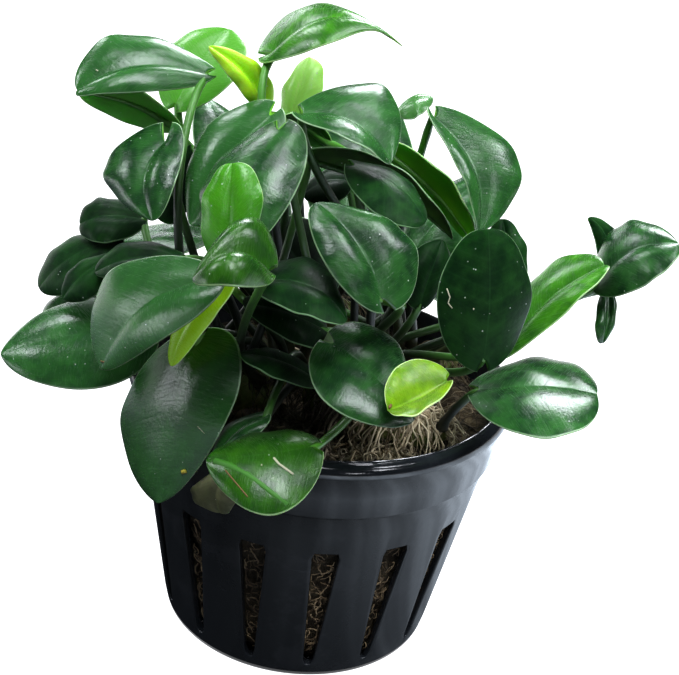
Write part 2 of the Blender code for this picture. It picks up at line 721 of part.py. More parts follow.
def place_middle_leaves():
    leaf("leaf_right_behind", (512, 290, 6), (503, 219, 2), ((485, 254, 5), (529, 254, 4)))
    leaf("leaf_right_round", (484, 360, 25), (488, 229, 21), ((436, 303, 23), (532, 299, 20)), arch=1.0,
         point=-0.2)
    leaf("leaf_right_folded", (503, 352, 10), (604, 265, 6), ((538, 272, 0), (570, 306, 12)), age="mid",
         point=-0.1)
    leaf("leaf_far_right", (598, 284, 4), (678, 243, 6), ((618, 224, -4), (648, 282, 10)), arch=1.6)
    leaf("leaf_far_right_spike", (608, 270, -4), (590, 217, -5), ((596, 245, -4), (620, 238, -8)),
         lobe=0.02)
    leaf("leaf_far_right_small", (608, 288, 2), (603, 343, 7), ((595, 318, 6), (618, 312, 4)))
    leaf("leaf_right_low", (478, 389, 19), (597, 394, 22), ((541, 356, 10), (541, 436, 31)), arch=1.0,
         point=-0.2)
    leaf("leaf_lime_cup", (446, 381, 30), (388, 410, 37), ((404, 362, 30), (424, 408, 37)), crown=0.2,
         arch=-1.0, age="young")
    leaf("leaf_centre_low", (333, 343, 25), (413, 422, 33), ((390, 334, 21), (326, 402, 33)), arch=1.2)
    leaf("leaf_centre_heart", (380, 298, 28), (317, 203, 24), ((325, 262, 29), (413, 241, 22)),
         lobe=0.14)
    leaf("leaf_centre_dim", (421, 304, 15), (442, 240, 11), ((402, 268, 14), (449, 276, 12)))
    leaf("leaf_centre_left_big", (279, 129, 17), (243, 246, 27), ((202, 182, 17), (301, 180, 22)),
         arch=1.6)
    leaf("leaf_centre_left_back", (270, 115, 11), (190, 224, 17), ((204, 130, 9), (258, 182, 17)),
         arch=1.4)
    leaf("leaf_bright_upright", (226, 263, 30), (232, 163, 26), ((198, 214, 28), (264, 205, 28)),
         point=-0.1, age="mid")
    leaf("leaf_curled", (268, 272, 31), (193, 278, 35), ((252, 218, 25), (236, 286, 38)), arch=2.4,
         crown=1.8, age="mid")
    leaf("leaf_left_big", (206, 280, 27), (101, 368, 23), ((112, 268, 16), (178, 328, 30)), arch=1.6)
    leaf("leaf_left_lime", (225, 281, 24), (171, 366, 23), ((181, 312, 18), (214, 316, 26)), age="young")
    leaf("leaf_centre_right", (262, 280, 26), (347, 320, 32), ((312, 258, 19), (294, 310, 33)), arch=1.6)
    leaf("leaf_centre_below", (322, 328, 21), (243, 304, 24), ((282, 294, 18), (300, 344, 26)))
    leaf("leaf_centre_narrow", (318, 380, 17), (241, 353, 24), ((284, 352, 15), (282, 379, 25)))
    leaf("leaf_upper_left_heart", (165, 141, 10), (152, 221, 18), ((103, 166, 10), (180, 166, 14)),
         lobe=0.24, arch=1.2)
    leaf("leaf_upper_left_back", (192, 150, 6), (172, 224, 9), ((151, 190, 6), (199, 190, 6)))
    leaf("leaf_upper_middle", (348, 180, -1), (303, 194, 4), ((326, 169, -4), (332, 203, 5)))
    leaf("leaf_upper_inner", (354, 165, 13), (426, 221, 20), ((402, 176, 10), (376, 212, 21)), arch=1.4)


def place_low_leaves():
    leaf("leaf_low_left_big", (196, 345, 21.6), (158, 504, 27.2), ((122, 402, 16.8), (236, 396, 26.6)),
         arch=1.4)
    leaf("leaf_far_left", (142, 332, 8), (1, 354, 8), ((80, 298, 0), (92, 388, 14)), arch=1.4)
    leaf("leaf_left_gloss", (108, 298, 2), (42, 317, -2), ((68, 290, -5), (80, 322, 4)))
    leaf("leaf_left_dark", (114, 240, 2), (39, 288, 0), ((62, 241, -6), (88, 286, 6)), arch=1.4)
    leaf("leaf_left_inner", (106, 258, 8), (63, 298, 8), ((74, 266, 5), (96, 294, 11)))
    leaf("leaf_left_round", (142, 218, 2), (80, 224, -2), ((103, 196, -6), (103, 242, 4)))
    leaf("leaf_left_upper_dark", (178, 258, 19), (95, 272, 13), ((130, 240, 10), (138, 276, 20)))
    leaf("leaf_low_left_behind", (262, 418, 19), (213, 464, 22), ((228, 425, 17), (248, 442, 22)))
    leaf("leaf_front_low", (310, 446, 25), (208, 461, 27), ((262, 431, 21), (274, 512, 33)), arch=1.2,
         age="mid")
    leaf("dried_leaf", (232, 467, 29.5), (220, 513, 28), ((189, 490, 26), (237, 499, 30)), crown=0.3,
         lobe=0.0, age="dried")


def place_back_leaves():
    hidden_leaf("leaf_back_left_low", 150, 22, 52, 21, 14, -22, roll=-10)
    hidden_leaf("leaf_back_left_high", 134, 14, 55, 22, 15, 38, roll=8)
    hidden_leaf("leaf_back_middle_low", 106, 22, 51, 22, 15, -30, roll=6)
    hidden_leaf("leaf_back_middle_high", 86, 14, 55, 23, 16, 42, roll=-6)
    hidden_leaf("leaf_back_right_low", 60, 23, 51, 21, 14, -26, roll=8)
    hidden_leaf("leaf_back_right_high", 44, 14, 53, 20, 14, 36, roll=-10)
    hidden_leaf("leaf_right_side_low", 28, 16, 50, 16, 12, -10, roll=6)
    leaf("leaf_back_centre", (322, 296, -2), (268, 222, -3), ((254, 262, -2), (334, 236, -3)))


clear_scene()
holders = [make_pot(), make_rockwool(), *make_rhizomes()]
place_top_leaves()
place_middle_leaves()
place_low_leaves()
place_back_leaves()
make_leaves([solid_tree(holder) for holder in holders])
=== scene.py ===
import math

import bmesh
import bpy
import numpy as np
from mathutils import Matrix, Vector, noise
from mathutils.bvhtree import BVHTree


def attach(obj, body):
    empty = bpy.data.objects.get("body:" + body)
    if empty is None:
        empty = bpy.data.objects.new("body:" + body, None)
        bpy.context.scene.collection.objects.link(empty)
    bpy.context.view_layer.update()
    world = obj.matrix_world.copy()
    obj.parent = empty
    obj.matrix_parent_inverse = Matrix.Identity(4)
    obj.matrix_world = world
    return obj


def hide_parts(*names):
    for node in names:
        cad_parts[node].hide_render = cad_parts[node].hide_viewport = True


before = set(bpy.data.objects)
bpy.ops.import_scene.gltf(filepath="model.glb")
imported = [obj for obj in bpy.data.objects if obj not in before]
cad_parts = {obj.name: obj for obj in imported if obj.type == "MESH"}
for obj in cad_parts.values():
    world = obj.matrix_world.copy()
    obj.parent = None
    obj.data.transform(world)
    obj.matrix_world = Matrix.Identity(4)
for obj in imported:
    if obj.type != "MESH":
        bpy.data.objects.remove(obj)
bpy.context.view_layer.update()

MM = 0.001
UP = np.array((0.0, 0.0, 1.0))
GAP = 0.35 * MM                     # air kept between pieces that nearly touch

# Pot
POT_HEIGHT = 39.5 * MM
LIP_RADIUS = 27.0 * MM
LIP_HEIGHT = 2.0 * MM
LIP_TOP_WIDTH = 1.7 * MM
BAND_RADIUS = 26.0 * MM             # plain band under the lip
LEDGE_HEIGHT = 31.0 * MM            # where the band steps in to the slotted wall
SLOT_TOP = 24.0 * MM
SLOT_BOTTOM = 2.6 * MM
WALL = 1.0 * MM
FLOOR = 1.2 * MM
FLOOR_RADIUS = 16.8 * MM
BASE_FLAT_RADIUS = 18.2 * MM
WALL_RADIUS_AT_BASE = 19.5 * MM
WALL_RADIUS_AT_LEDGE = 25.0 * MM
SLOT_COUNT = 15
SLOT_WIDTH_TOP = 3.8 * MM
SLOT_WIDTH_BOTTOM = 1.3 * MM
FIRST_SLOT_ANGLE = math.radians(-81.0)

# Rockwool plug
ROCKWOOL_TOP = 35.7 * MM
ROCKWOOL_GAP = GAP + 0.25 * MM      # air between the plug and the pot's wall

# Rhizomes
RHIZOME_RADIUS = 2.9 * MM
RHIZOME_LIFT = 0.3 * MM             # more air under a rhizome, for the rockwool's lumps
RING_SWELLING = 0.06                # of its radius, where a rhizome swells and narrows
SWELLINGS = 4.5

# Leaves
STALK_RADIUS = 0.62 * MM
BLADE_THICKNESS = 0.45 * MM
WIDEST_AT = 0.42                    # share of the blade's length from the heel
FULLNESS = 0.56                     # lower makes a blade rounder at its heel and tip
MIDRIB_SWEEP = 0.55                 # how far the midrib bends towards the middle between the edges
STALK_ROWS = (0.0, 0.2, 0.42, 0.64, 0.84)      # where a solid stalk has its rings, from foot to heel
BLADE_RINGS = 6                     # rings of a solid blade, without its heel
RING_CORNERS = 6
BLADE_STEP = 0.3 * MM               # blades stand whole steps off the places that the picture gives them

# The eye that looked at the reference picture, 679 by 675 picture points
PICTURE_WIDTH = 679
PICTURE_HEIGHT = 675
EYE_FOCAL = 1440.0                  # in picture points
EYE_DISTANCE = 200.0 * MM
EYE_ELEVATION = math.radians(26.58)
EYE_ROLL = math.radians(7.26)
EYE_AIM = np.array((1.8, 0.0, 44.0)) * MM


def unit(vector):
    return vector / np.linalg.norm(vector)


def eye_frame():
    """Eye point, and the picture's right, up and towards-the-eye directions."""
    back = np.array((0.0, -math.cos(EYE_ELEVATION), math.sin(EYE_ELEVATION)))
    level_right = np.array((1.0, 0.0, 0.0))
    level_up = np.cross(back, level_right)
    right = math.cos(EYE_ROLL) * level_right + math.sin(EYE_ROLL) * level_up
    up = -math.sin(EYE_ROLL) * level_right + math.cos(EYE_ROLL) * level_up
    return EYE_AIM + back * EYE_DISTANCE, right, up, back


EYE, EYE_RIGHT, EYE_UP, EYE_BACK = eye_frame()


def picture_ray(u, v):
    """The line of sight through a picture point."""
    return (EYE_RIGHT * (u - PICTURE_WIDTH / 2) - EYE_UP * (v - PICTURE_HEIGHT / 2)) / EYE_FOCAL - EYE_BACK


def from_picture(point):
    """Space point seen at picture point (u, v), `near` mm in front of the pot's axis."""
    u, v, near = point
    ray = picture_ray(u, v)
    return EYE + ray * ((-near * MM - EYE[1]) / ray[1])


def join_rings(rings, tip=None):
    """Vertices and faces of a skin over rings of equal size, with a flat start and a pointed or flat end."""
    count = len(rings[0])
    vertices = [point for ring in rings for point in ring]
    faces = []
    for row in range(len(rings) - 1):
        for column in range(count):
            following = (column + 1) % count
            first, second = row * count, (row + 1) * count
            faces.append((first + column, first + following, second + following, second + column))
    last = (len(rings) - 1) * count
    faces.append(tuple(reversed(range(count))))
    if tip is None:
        faces.append(tuple(last + column for column in range(count)))
    else:
        vertices.append(tip)
        for column in range(count):
            faces.append((last + column, last + (column + 1) % count, len(vertices) - 1))
    return vertices, faces


# Pot

def wall_radius(height):
    share = height / LEDGE_HEIGHT
    return WALL_RADIUS_AT_BASE + share * (WALL_RADIUS_AT_LEDGE - WALL_RADIUS_AT_BASE)


def inner_radius(height):
    """Radius of the pot's inner wall at a height."""
    rows = (
        (FLOOR_RADIUS, FLOOR),
        (wall_radius(SLOT_BOTTOM) - WALL - 0.3 * MM, SLOT_BOTTOM + 0.6 * MM),
        (wall_radius(SLOT_TOP) - WALL, SLOT_TOP),
        (WALL_RADIUS_AT_LEDGE - WALL, LEDGE_HEIGHT),
        (BAND_RADIUS - WALL, POT_HEIGHT - LIP_HEIGHT),
        (LIP_RADIUS - LIP_TOP_WIDTH, POT_HEIGHT),
    )
    return float(np.interp(height, [row[1] for row in rows], [row[0] for row in rows]))


# Rhizomes: each a lumpy root-stock along a short curve on the rockwool, (x, y) in mm, start to growing tip

RHIZOMES = {
    "rhizome_front": ((-1.0, -5.0), (7.0, -13.0), (17.5, -13.5)),
    "rhizome_left": ((-5.0, -2.0), (-10.0, -9.0), (-19.0, -6.0)),
    "rhizome_back": ((-8.0, 6.0), (-4.0, 14.0), (4.0, 18.5)),
    "rhizome_right": ((4.0, 2.0), (11.0, 2.0), (18.5, 7.0)),
}
RHIZOME_HEIGHT = ROCKWOOL_TOP + GAP + RHIZOME_RADIUS + RHIZOME_LIFT


def rhizome_point(name, share):
    """Centre of a rhizome and its direction at a share of its length, on the curve through three points."""
    start, middle, end = (np.array(point) * MM for point in RHIZOMES[name])
    control = 2 * middle - 0.5 * (start + end)
    place = (1 - share) ** 2 * start + 2 * share * (1 - share) * control + share ** 2 * end
    along = 2 * (1 - share) * (control - start) + 2 * share * (end - control)
    return np.array((*place, RHIZOME_HEIGHT)), unit(np.array((*along, 0.0)))


def rhizome_radius(share):
    """Radius at a share of the length; both ends taper off and the body swells and narrows a little."""
    body = min(1.0, 6.0 * share + 0.45, 5.0 * (1.0 - share) + 0.35)
    return RHIZOME_RADIUS * body * (1.0 - RING_SWELLING * math.cos(math.tau * SWELLINGS * share))


# Leaves: the picture gives each blade's heel (where its stalk joins), its tip and its two widest edges.
# A point is (u, v, near): a picture point, and how many mm it lies in front of the pot's axis.

LEAVES = []


def leaf(name, heel, tip, edges, top_seen=True, arch=1.0, crown=0.5, lobe=0.1, droop=0.0, point=0.0,
         age="old"):
    """A leaf placed by four picture points. `top_seen` says whether the viewer sees its upper face."""
    add_leaf(name, from_picture(heel), from_picture(tip), [from_picture(edge) for edge in edges],
             EYE_BACK if top_seen else -EYE_BACK, arch, crown, lobe, droop, point, age)


def hidden_leaf(name, azimuth, reach, height, length, width, lean, roll=0.0, swing=0.0, arch=1.5, age="old"):
    """A leaf that the picture doesn't show: its heel at `reach` and `height` mm, its blade `lean` degrees
    above level (below where negative), swung sideways by `swing` and rolled about its length."""
    outward = math.radians(azimuth)
    heading = math.radians(azimuth + swing)
    rise, turn = math.radians(lean), math.radians(roll)
    heel = np.array((reach * math.cos(outward), reach * math.sin(outward), height)) * MM
    along = np.array((math.cos(rise) * math.cos(heading), math.cos(rise) * math.sin(heading), math.sin(rise)))
    level = np.array((-math.sin(heading), math.cos(heading), 0.0))
    above = np.cross(along, level)
    side = level * math.cos(turn) + above * math.sin(turn)
    tip = heel + along * length * MM
    widest = heel + along * length * MM * WIDEST_AT
    edges = [widest + side * width * 0.5 * MM, widest - side * width * 0.5 * MM]
    add_leaf(name, heel, tip, edges, above, arch, 0.5, 0.1, 0.0, 0.0, age)


def add_leaf(name, heel, tip, edges, facing, arch, crown, lobe, droop, point, age):
    normal = unit(np.cross(tip - heel, edges[1] - edges[0]))
    if np.dot(normal, facing) < 0:
        normal = -normal
        edges = edges[::-1]
    along = unit(tip - heel)
    aside = 0.5 * (edges[0] + edges[1]) - (heel * (1 - WIDEST_AT) + tip * WIDEST_AT)
    aside = aside - along * np.dot(aside, along) - normal * np.dot(aside, normal)
    LEAVES.append({
        "name": name, "heel": heel, "tip": tip, "edges": np.array(edges), "normal": normal,
        "sweep": aside * MIDRIB_SWEEP / (4 * WIDEST_AT * (1 - WIDEST_AT)),
        "arch": arch * MM, "crown": crown * MM, "lobe": lobe, "droop": droop * MM, "point": point,
        "age": age,
    })


def half_width_share(share, point):
    """Half width of an egg-shaped blade at a share of its length, as a share of its widest half.
    A higher `point` draws the tip out longer and thinner."""
    bent = share ** (math.log(0.5) / math.log(WIDEST_AT))
    fullness = FULLNESS * (1.0 + point) if share > WIDEST_AT else FULLNESS
    return max(0.0, math.sin(math.pi * bent)) ** fullness


def midrib(blade, share):
    bow = 4 * share * (1 - share)
    rise = blade["arch"] * bow - blade["droop"] * share ** 3
    straight = blade["heel"] * (1 - share) + blade["tip"] * share
    return straight + blade["normal"] * rise + blade["sweep"] * bow


def blade_point(blade, share, across):
    """Point of the blade's middle surface; `across` runs from -1 at one edge through the midrib to 1."""
    edge = blade["edges"][0] if across < 0 else blade["edges"][1]
    reach = edge - midrib(blade, WIDEST_AT)
    along = blade["tip"] - blade["heel"]
    backward = blade["lobe"] * across ** 2 * max(0.0, 1 - share / WIDEST_AT) ** 2
    width = half_width_share(share, blade["point"])
    bulge = blade["crown"] * 4 * abs(across) * (1 - abs(across)) * width
    place = midrib(blade, share) + reach * abs(across) * width
    return place - along * backward + blade["normal"] * bulge


def solid_tree(item):
    mesh = item.data
    return BVHTree.FromPolygons([vertex.co for vertex in mesh.vertices],
                                [tuple(face.vertices) for face in mesh.polygons])


# Stalks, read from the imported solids

def corner_links(mesh):
    """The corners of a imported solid, each once, and for each of them those that a face joins to it."""
    places, numbers, links = [], {}, []
    for face in mesh.polygons:
        corners = []
        for index in face.vertices:
            place = mesh.vertices[index].co
            key = tuple(round(value / (0.001 * MM)) for value in place)
            if key not in numbers:
                numbers[key] = len(places)
                places.append(np.array(place, dtype=float))
                links.append(set())
            corners.append(numbers[key])
        for corner in corners:
            links[corner].update(corners)
    return places, links


def ring_centres(mesh):
    """Centres of a packed leaf's rings of corners, from its foot to its tip."""
    places, links = corner_links(mesh)
    rings = len(STALK_ROWS) + 1 + BLADE_RINGS
    for tip in range(len(places)):
        layers, seen = [{tip}], {tip}
        while len(layers) <= rings:
            layers.append(set().union(*(links[corner] for corner in layers[-1])) - seen)
            seen |= layers[-1]
        if [len(layer) for layer in layers] == [1] + [RING_CORNERS] * rings:
            return [np.mean([places[corner] for corner in layer], axis=0) for layer in reversed(layers)]
    raise ValueError("no rings of corners from a tip to a foot")


def fit_to_solid(blade):
    """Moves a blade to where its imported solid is, some steps nearer to the eye or farther from it; gives
    the four control points of the solid's stalk."""
    centres = ring_centres(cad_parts[blade["name"]].data)
    stalk, solid_heel = np.array(centres[:len(STALK_ROWS)]), centres[len(STALK_ROWS)]
    towards_eye = unit(EYE - 0.5 * (blade["heel"] + blade["tip"]))
    steps = round(np.dot(solid_heel - blade["heel"], towards_eye) / BLADE_STEP)
    for key in ("heel", "tip", "edges"):
        blade[key] = blade[key] + towards_eye * steps * BLADE_STEP
    heel = blade["heel"]
    share = np.array(STALK_ROWS[1:])[:, None]
    rest = 1 - share
    pulls = np.hstack((3 * rest ** 2 * share, 3 * rest * share ** 2))
    inner = np.linalg.lstsq(pulls, stalk[1:] - rest ** 3 * stalk[0] - share ** 3 * heel, rcond=None)[0]
    return stalk[0], inner[0], inner[1], heel


def curve_point(route, share):
    first, second, third, fourth = route
    rest = 1 - share
    inner = 3 * rest ** 2 * share * second + 3 * rest * share ** 2 * third
    return rest ** 3 * first + inner + share ** 3 * fourth


def place_leaves():
    leaf("leaf_top_left", (206, 74, 3), (77, 90, 7), ((124, 32, 0), (130, 92, 8)), arch=1.6)
    leaf("leaf_top_left_under", (172, 122, -1), (79, 92, 3), ((132, 84, 5), (128, 122, -1)),
         top_seen=False, age="mid")
    leaf("leaf_top_pale", (176, 104, -5), (228, 29, -12), ((165, 50, -12), (239, 72, -5)), age="mid")
    leaf("leaf_top_rolled", (266, 110, 3), (209, 46, 5), ((266, 70, 1), (240, 91, 6)), crown=1.0,
         lobe=0.02, age="young")
    leaf("leaf_top_arched", (271, 53, 3), (400, 36, 8), ((311, 2, -6), (318, 46, 9)), arch=3.2,
         droop=1.3, point=3.2, age="mid")
    leaf("leaf_top_small", (291, 118, -4), (309, 57, -9), ((281, 92, -7), (324, 88, -7)), lobe=0.03,
         age="young")
    leaf("leaf_top_right", (302, 114, 13), (391, 163, 17), ((382, 84, 6), (343, 135, 19)), arch=1.5)
    leaf("leaf_top_under", (326, 140, 1), (282, 116, 8), ((300, 141, 2), (313, 116, 5)),
         top_seen=False, age="mid")
    leaf("leaf_right_long", (310, 156, 10), (454, 240, 10), ((388, 159, 13), (380, 181, 5)), arch=2.0,
         top_seen=False, lobe=0.04)
    leaf("leaf_right_underside", (390, 150, 2), (474, 243, 8), ((446, 172, 8), (431, 202, 2)),
         top_seen=False, age="mid")
    leaf("leaf_right_edge_on", (396, 112, -6), (433, 98, -8), ((414, 100, -10), (417, 115, -3)),
         lobe=0.03)
    leaf("leaf_right_pendant", (434, 117, 3), (479, 232, 10), ((460, 168, 9), (518, 155, 2)), arch=1.4)
    leaf("leaf_right_behind", (512, 290, 6), (503, 219, 2), ((485, 254, 5), (529, 254, 4)))
    leaf("leaf_right_round", (484, 360, 25), (488, 229, 21), ((436, 303, 23), (532, 299, 20)), arch=1.0,
         point=-0.2)
    leaf("leaf_right_folded", (503, 352, 10), (604, 265, 6), ((538, 272, 0), (570, 306, 12)), age="mid",
         point=-0.1)
    leaf("leaf_far_right", (598, 284, 4), (678, 243, 6), ((618, 224, -4), (648, 282, 10)), arch=1.6)
    leaf("leaf_far_right_spike", (608, 270, -4), (590, 217, -5), ((596, 245, -4), (620, 238, -8)),
         lobe=0.02)
    leaf("leaf_far_right_small", (608, 288, 2), (603, 343, 7), ((595, 318, 6), (618, 312, 4)))
    leaf("leaf_right_low", (478, 389, 19), (597, 394, 22), ((541, 356, 10), (541, 436, 31)), arch=1.0,
         point=-0.2)
    leaf("leaf_lime_cup", (446, 381, 30), (388, 410, 37), ((404, 362, 30), (424, 408, 37)), crown=0.2,
         arch=-1.0, age="young")
    leaf("leaf_centre_low", (333, 343, 25), (413, 422, 33), ((390, 334, 21), (326, 402, 33)), arch=1.2)
    leaf("leaf_centre_heart", (380, 298, 28), (317, 203, 24), ((325, 262, 29), (413, 241, 22)),
         lobe=0.14)
    leaf("leaf_centre_dim", (421, 304, 15), (442, 240, 11), ((402, 268, 14), (449, 276, 12)))
    leaf("leaf_centre_left_big", (279, 129, 17), (243, 246, 27), ((202, 182, 17), (301, 180, 22)),
         arch=1.6)
    leaf("leaf_centre_left_back", (270, 115, 11), (190, 224, 17), ((204, 130, 9), (258, 182, 17)),
         arch=1.4)
    leaf("leaf_bright_upright", (226, 263, 30), (232, 163, 26), ((198, 214, 28), (264, 205, 28)),
         point=-0.1, age="mid")
    leaf("leaf_curled", (268, 272, 31), (193, 278, 35), ((252, 218, 25), (236, 286, 38)), arch=2.4,
         crown=1.8, age="mid")
    leaf("leaf_left_big", (206, 280, 27), (101, 368, 23), ((112, 268, 16), (178, 328, 30)), arch=1.6)
    leaf("leaf_left_lime", (225, 281, 24), (171, 366, 23), ((181, 312, 18), (214, 316, 26)), age="young")
    leaf("leaf_centre_right", (262, 280, 26), (347, 320, 32), ((312, 258, 19), (294, 310, 33)), arch=1.6)
    leaf("leaf_centre_below", (322, 328, 21), (243, 304, 24), ((282, 294, 18), (300, 344, 26)))
    leaf("leaf_centre_narrow", (318, 380, 17), (241, 353, 24), ((284, 352, 15), (282, 379, 25)))
    leaf("leaf_upper_left_heart", (165, 141, 10), (152, 221, 18), ((103, 166, 10), (180, 166, 14)),
         lobe=0.24, arch=1.2)
    leaf("leaf_upper_left_back", (192, 150, 6), (172, 224, 9), ((151, 190, 6), (199, 190, 6)))
    leaf("leaf_upper_middle", (348, 180, -1), (303, 194, 4), ((326, 169, -4), (332, 203, 5)))
    leaf("leaf_upper_inner", (354, 165, 13), (426, 221, 20), ((402, 176, 10), (376, 212, 21)), arch=1.4)
    leaf("leaf_low_left_big", (196, 345, 21.6), (158, 504, 27.2), ((122, 402, 16.8), (236, 396, 26.6)),
         arch=1.4)
    leaf("leaf_far_left", (142, 332, 8), (1, 354, 8), ((80, 298, 0), (92, 388, 14)), arch=1.4)
    leaf("leaf_left_gloss", (108, 298, 2), (42, 317, -2), ((68, 290, -5), (80, 322, 4)))
    leaf("leaf_left_dark", (114, 240, 2), (39, 288, 0), ((62, 241, -6), (88, 286, 6)), arch=1.4)
    leaf("leaf_left_inner", (106, 258, 8), (63, 298, 8), ((74, 266, 5), (96, 294, 11)))
    leaf("leaf_left_round", (142, 218, 2), (80, 224, -2), ((103, 196, -6), (103, 242, 4)))
    leaf("leaf_left_upper_dark", (178, 258, 19), (95, 272, 13), ((130, 240, 10), (138, 276, 20)))
    leaf("leaf_low_left_behind", (262, 418, 19), (213, 464, 22), ((228, 425, 17), (248, 442, 22)))
    leaf("leaf_front_low", (310, 446, 25), (208, 461, 27), ((262, 431, 21), (274, 512, 33)), arch=1.2,
         age="mid")
    leaf("dried_leaf", (232, 467, 29.5), (220, 513, 28), ((189, 490, 26), (237, 499, 30)), crown=0.3,
         lobe=0.0, age="dried")
    hidden_leaf("leaf_back_left_low", 150, 22, 52, 21, 14, -22, roll=-10)
    hidden_leaf("leaf_back_left_high", 134, 14, 55, 22, 15, 38, roll=8)
    hidden_leaf("leaf_back_middle_low", 106, 22, 51, 22, 15, -30, roll=6)
    hidden_leaf("leaf_back_middle_high", 86, 14, 55, 23, 16, 42, roll=-6)
    hidden_leaf("leaf_back_right_low", 60, 23, 51, 21, 14, -26, roll=8)
    hidden_leaf("leaf_back_right_high", 44, 14, 53, 20, 14, 36, roll=-10)
    hidden_leaf("leaf_right_side_low", 28, 16, 50, 16, 12, -10, roll=6)
    leaf("leaf_back_centre", (322, 296, -2), (268, 222, -3), ((254, 262, -2), (334, 236, -3)))


# Fine meshes

def add_piece(name, vertices, faces, materials, face_materials=None, attributes=None, flat_above=None):
    """A piece of the visible model; `attributes` holds one number for each vertex under each name."""
    mesh = bpy.data.meshes.new(name)
    mesh.from_pydata([tuple(vertex) for vertex in vertices], [], faces)
    for material in materials:
        mesh.materials.append(material)
    if face_materials is not None:
        mesh.polygons.foreach_set("material_index", face_materials)
    for key, values in (attributes or {}).items():
        layer = mesh.attributes.new(key, "FLOAT", "POINT")
        layer.data.foreach_set("value", np.asarray(values, dtype=np.float32))
    mesh.shade_smooth()
    if flat_above is not None:
        mesh.set_sharp_from_angle(angle=math.radians(flat_above))
    mesh.update()
    item = bpy.data.objects.new(name, mesh)
    bpy.context.scene.collection.objects.link(item)
    return item


def outward(item):
    """Turns a closed piece's faces outward."""
    work = bmesh.new()
    work.from_mesh(item.data)
    bmesh.ops.recalc_face_normals(work, faces=work.faces)
    work.to_mesh(item.data)
    work.free()
    return item


def stand_for(item, slot, *nodes):
    """The piece rides on the one body and stands for these solids, which it hides; `slot` is not used."""
    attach(item, "root")
    if nodes:
        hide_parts(*nodes)
    return item


def tube_frames(points):
    """Directions along a line of points, and a side direction that turns as little as it can."""
    points = np.asarray(points)
    along = np.gradient(points, axis=0)
    along /= np.linalg.norm(along, axis=1)[:, None]
    helper = UP if abs(along[0][2]) < 0.9 else np.array((1.0, 0.0, 0.0))
    side = unit(np.cross(along[0], helper))
    sides = []
    for direction in along:
        side = unit(side - direction * np.dot(side, direction))
        sides.append(side)
    return along, np.array(sides)


def tube(points, radii, sides):
    """Vertices and faces of a round tube along points, closed at both ends."""
    along, across = tube_frames(points)
    upward = np.cross(along, across)
    turns = np.arange(sides) * math.tau / sides
    return join_rings([[point + (side * math.cos(turn) + up * math.sin(turn)) * radius for turn in turns]
                       for point, radius, side, up in zip(points, radii, across, upward)])


class Batch:
    """Collects many small meshes into one piece."""

    def __init__(self):
        self.vertices = []
        self.faces = []
        self.kinds = []
        self.values = {}

    def add(self, vertices, faces, kind=0, **values):
        start = len(self.vertices)
        self.vertices.extend(vertices)
        self.faces.extend(tuple(start + corner for corner in face) for face in faces)
        self.kinds.extend([kind] * len(faces))
        for key, value in values.items():
            numbers = value if hasattr(value, "__len__") else [value] * len(vertices)
            self.values.setdefault(key, []).extend(numbers)

    def piece(self, name, materials, flat_above=None):
        return add_piece(name, self.vertices, self.faces, materials, self.kinds, self.values, flat_above)


# Shade inside the plant

SKY_RAYS = 40
SHADE_START = 0.9 * MM              # how far off a surface the rays start
SHADE_REACH = 70.0 * MM
SHADE_ROWS = (0, 9, 18, 27, 36, 45)
SHADE_COLUMNS = (0, 5, 10, 13, 16, 21, 26)


def joint_tree(items):
    vertices, faces = [], []
    for item in items:
        start = len(vertices)
        vertices += [vertex.co for vertex in item.data.vertices]
        faces += [tuple(start + corner for corner in face.vertices) for face in item.data.polygons]
    return BVHTree.FromPolygons(vertices, faces)


def even_directions(count):
    """Directions spread evenly over a ball."""
    rays = []
    for index in range(count):
        height = 1 - (2 * index + 1) / count
        turn = index * math.pi * (3 - math.sqrt(5))
        across = math.sqrt(1 - height * height)
        rays.append(Vector((across * math.cos(turn), across * math.sin(turn), height)))
    return rays


plant_tree = joint_tree(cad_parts.values())
sky = even_directions(SKY_RAYS)


def shade_at(place, normal):
    """The share of the space over a point, on the side of `normal`, that the plant closes off."""
    normal = Vector(normal)
    start = Vector(place) + normal * SHADE_START
    rays = [ray for ray in sky if ray.dot(normal) > 0.1]
    blocked = sum(plant_tree.ray_cast(start, ray, SHADE_REACH)[0] is not None for ray in rays)
    return blocked / len(rays)


def blade_shade(grid, normals, side):
    """Shade over a blade's upper side (1) or underside (-1), worked out at some points and spread between."""
    coarse = np.array([[shade_at(grid[row, column], normals[row, column] * side) for column in SHADE_COLUMNS]
                       for row in SHADE_ROWS])
    wide = np.array([np.interp(range(grid.shape[1]), SHADE_COLUMNS, line) for line in coarse])
    return np.array([np.interp(range(grid.shape[0]), SHADE_ROWS, line) for line in wide.T]).T


# Leaves

HALF_ACROSS = (0.0, 0.03, 0.075, 0.15, 0.25, 0.36, 0.47, 0.58, 0.69, 0.79, 0.87, 0.93, 0.97, 1.0)
ACROSS = [-value for value in reversed(HALF_ACROSS[1:])] + list(HALF_ACROSS)
LEAF_ROWS = 46
VEINS_A_SIDE = 9
EDGE_THICKNESS = 0.2 * MM
VALLEY_DEPTH = 0.3 * MM
VALLEY_WIDTH = 0.22                 # across the blade, where 1 is its edge
MARGIN_ROLL = 0.22 * MM
STALK_STEPS = 22
RIB_STEPS = 12
RIB_END = 0.93
HEEL_DIP = 0.5 * MM                 # how far a stalk's end lies under the blade's heel
TUBE_SIDES = 10


def leaf_shares():
    """Rows along a blade, closer together at the heel and the tip."""
    return [0.5 - 0.5 * math.cos(math.pi * (0.03 + 0.955 * row / (LEAF_ROWS - 1)))
            for row in range(LEAF_ROWS)]


def vein_phase(share, across):
    """A number that passes a whole value at each side vein; the veins sweep towards the tip."""
    return VEINS_A_SIDE * (share - 0.34 * abs(across) ** 1.25 * (1.05 - share))


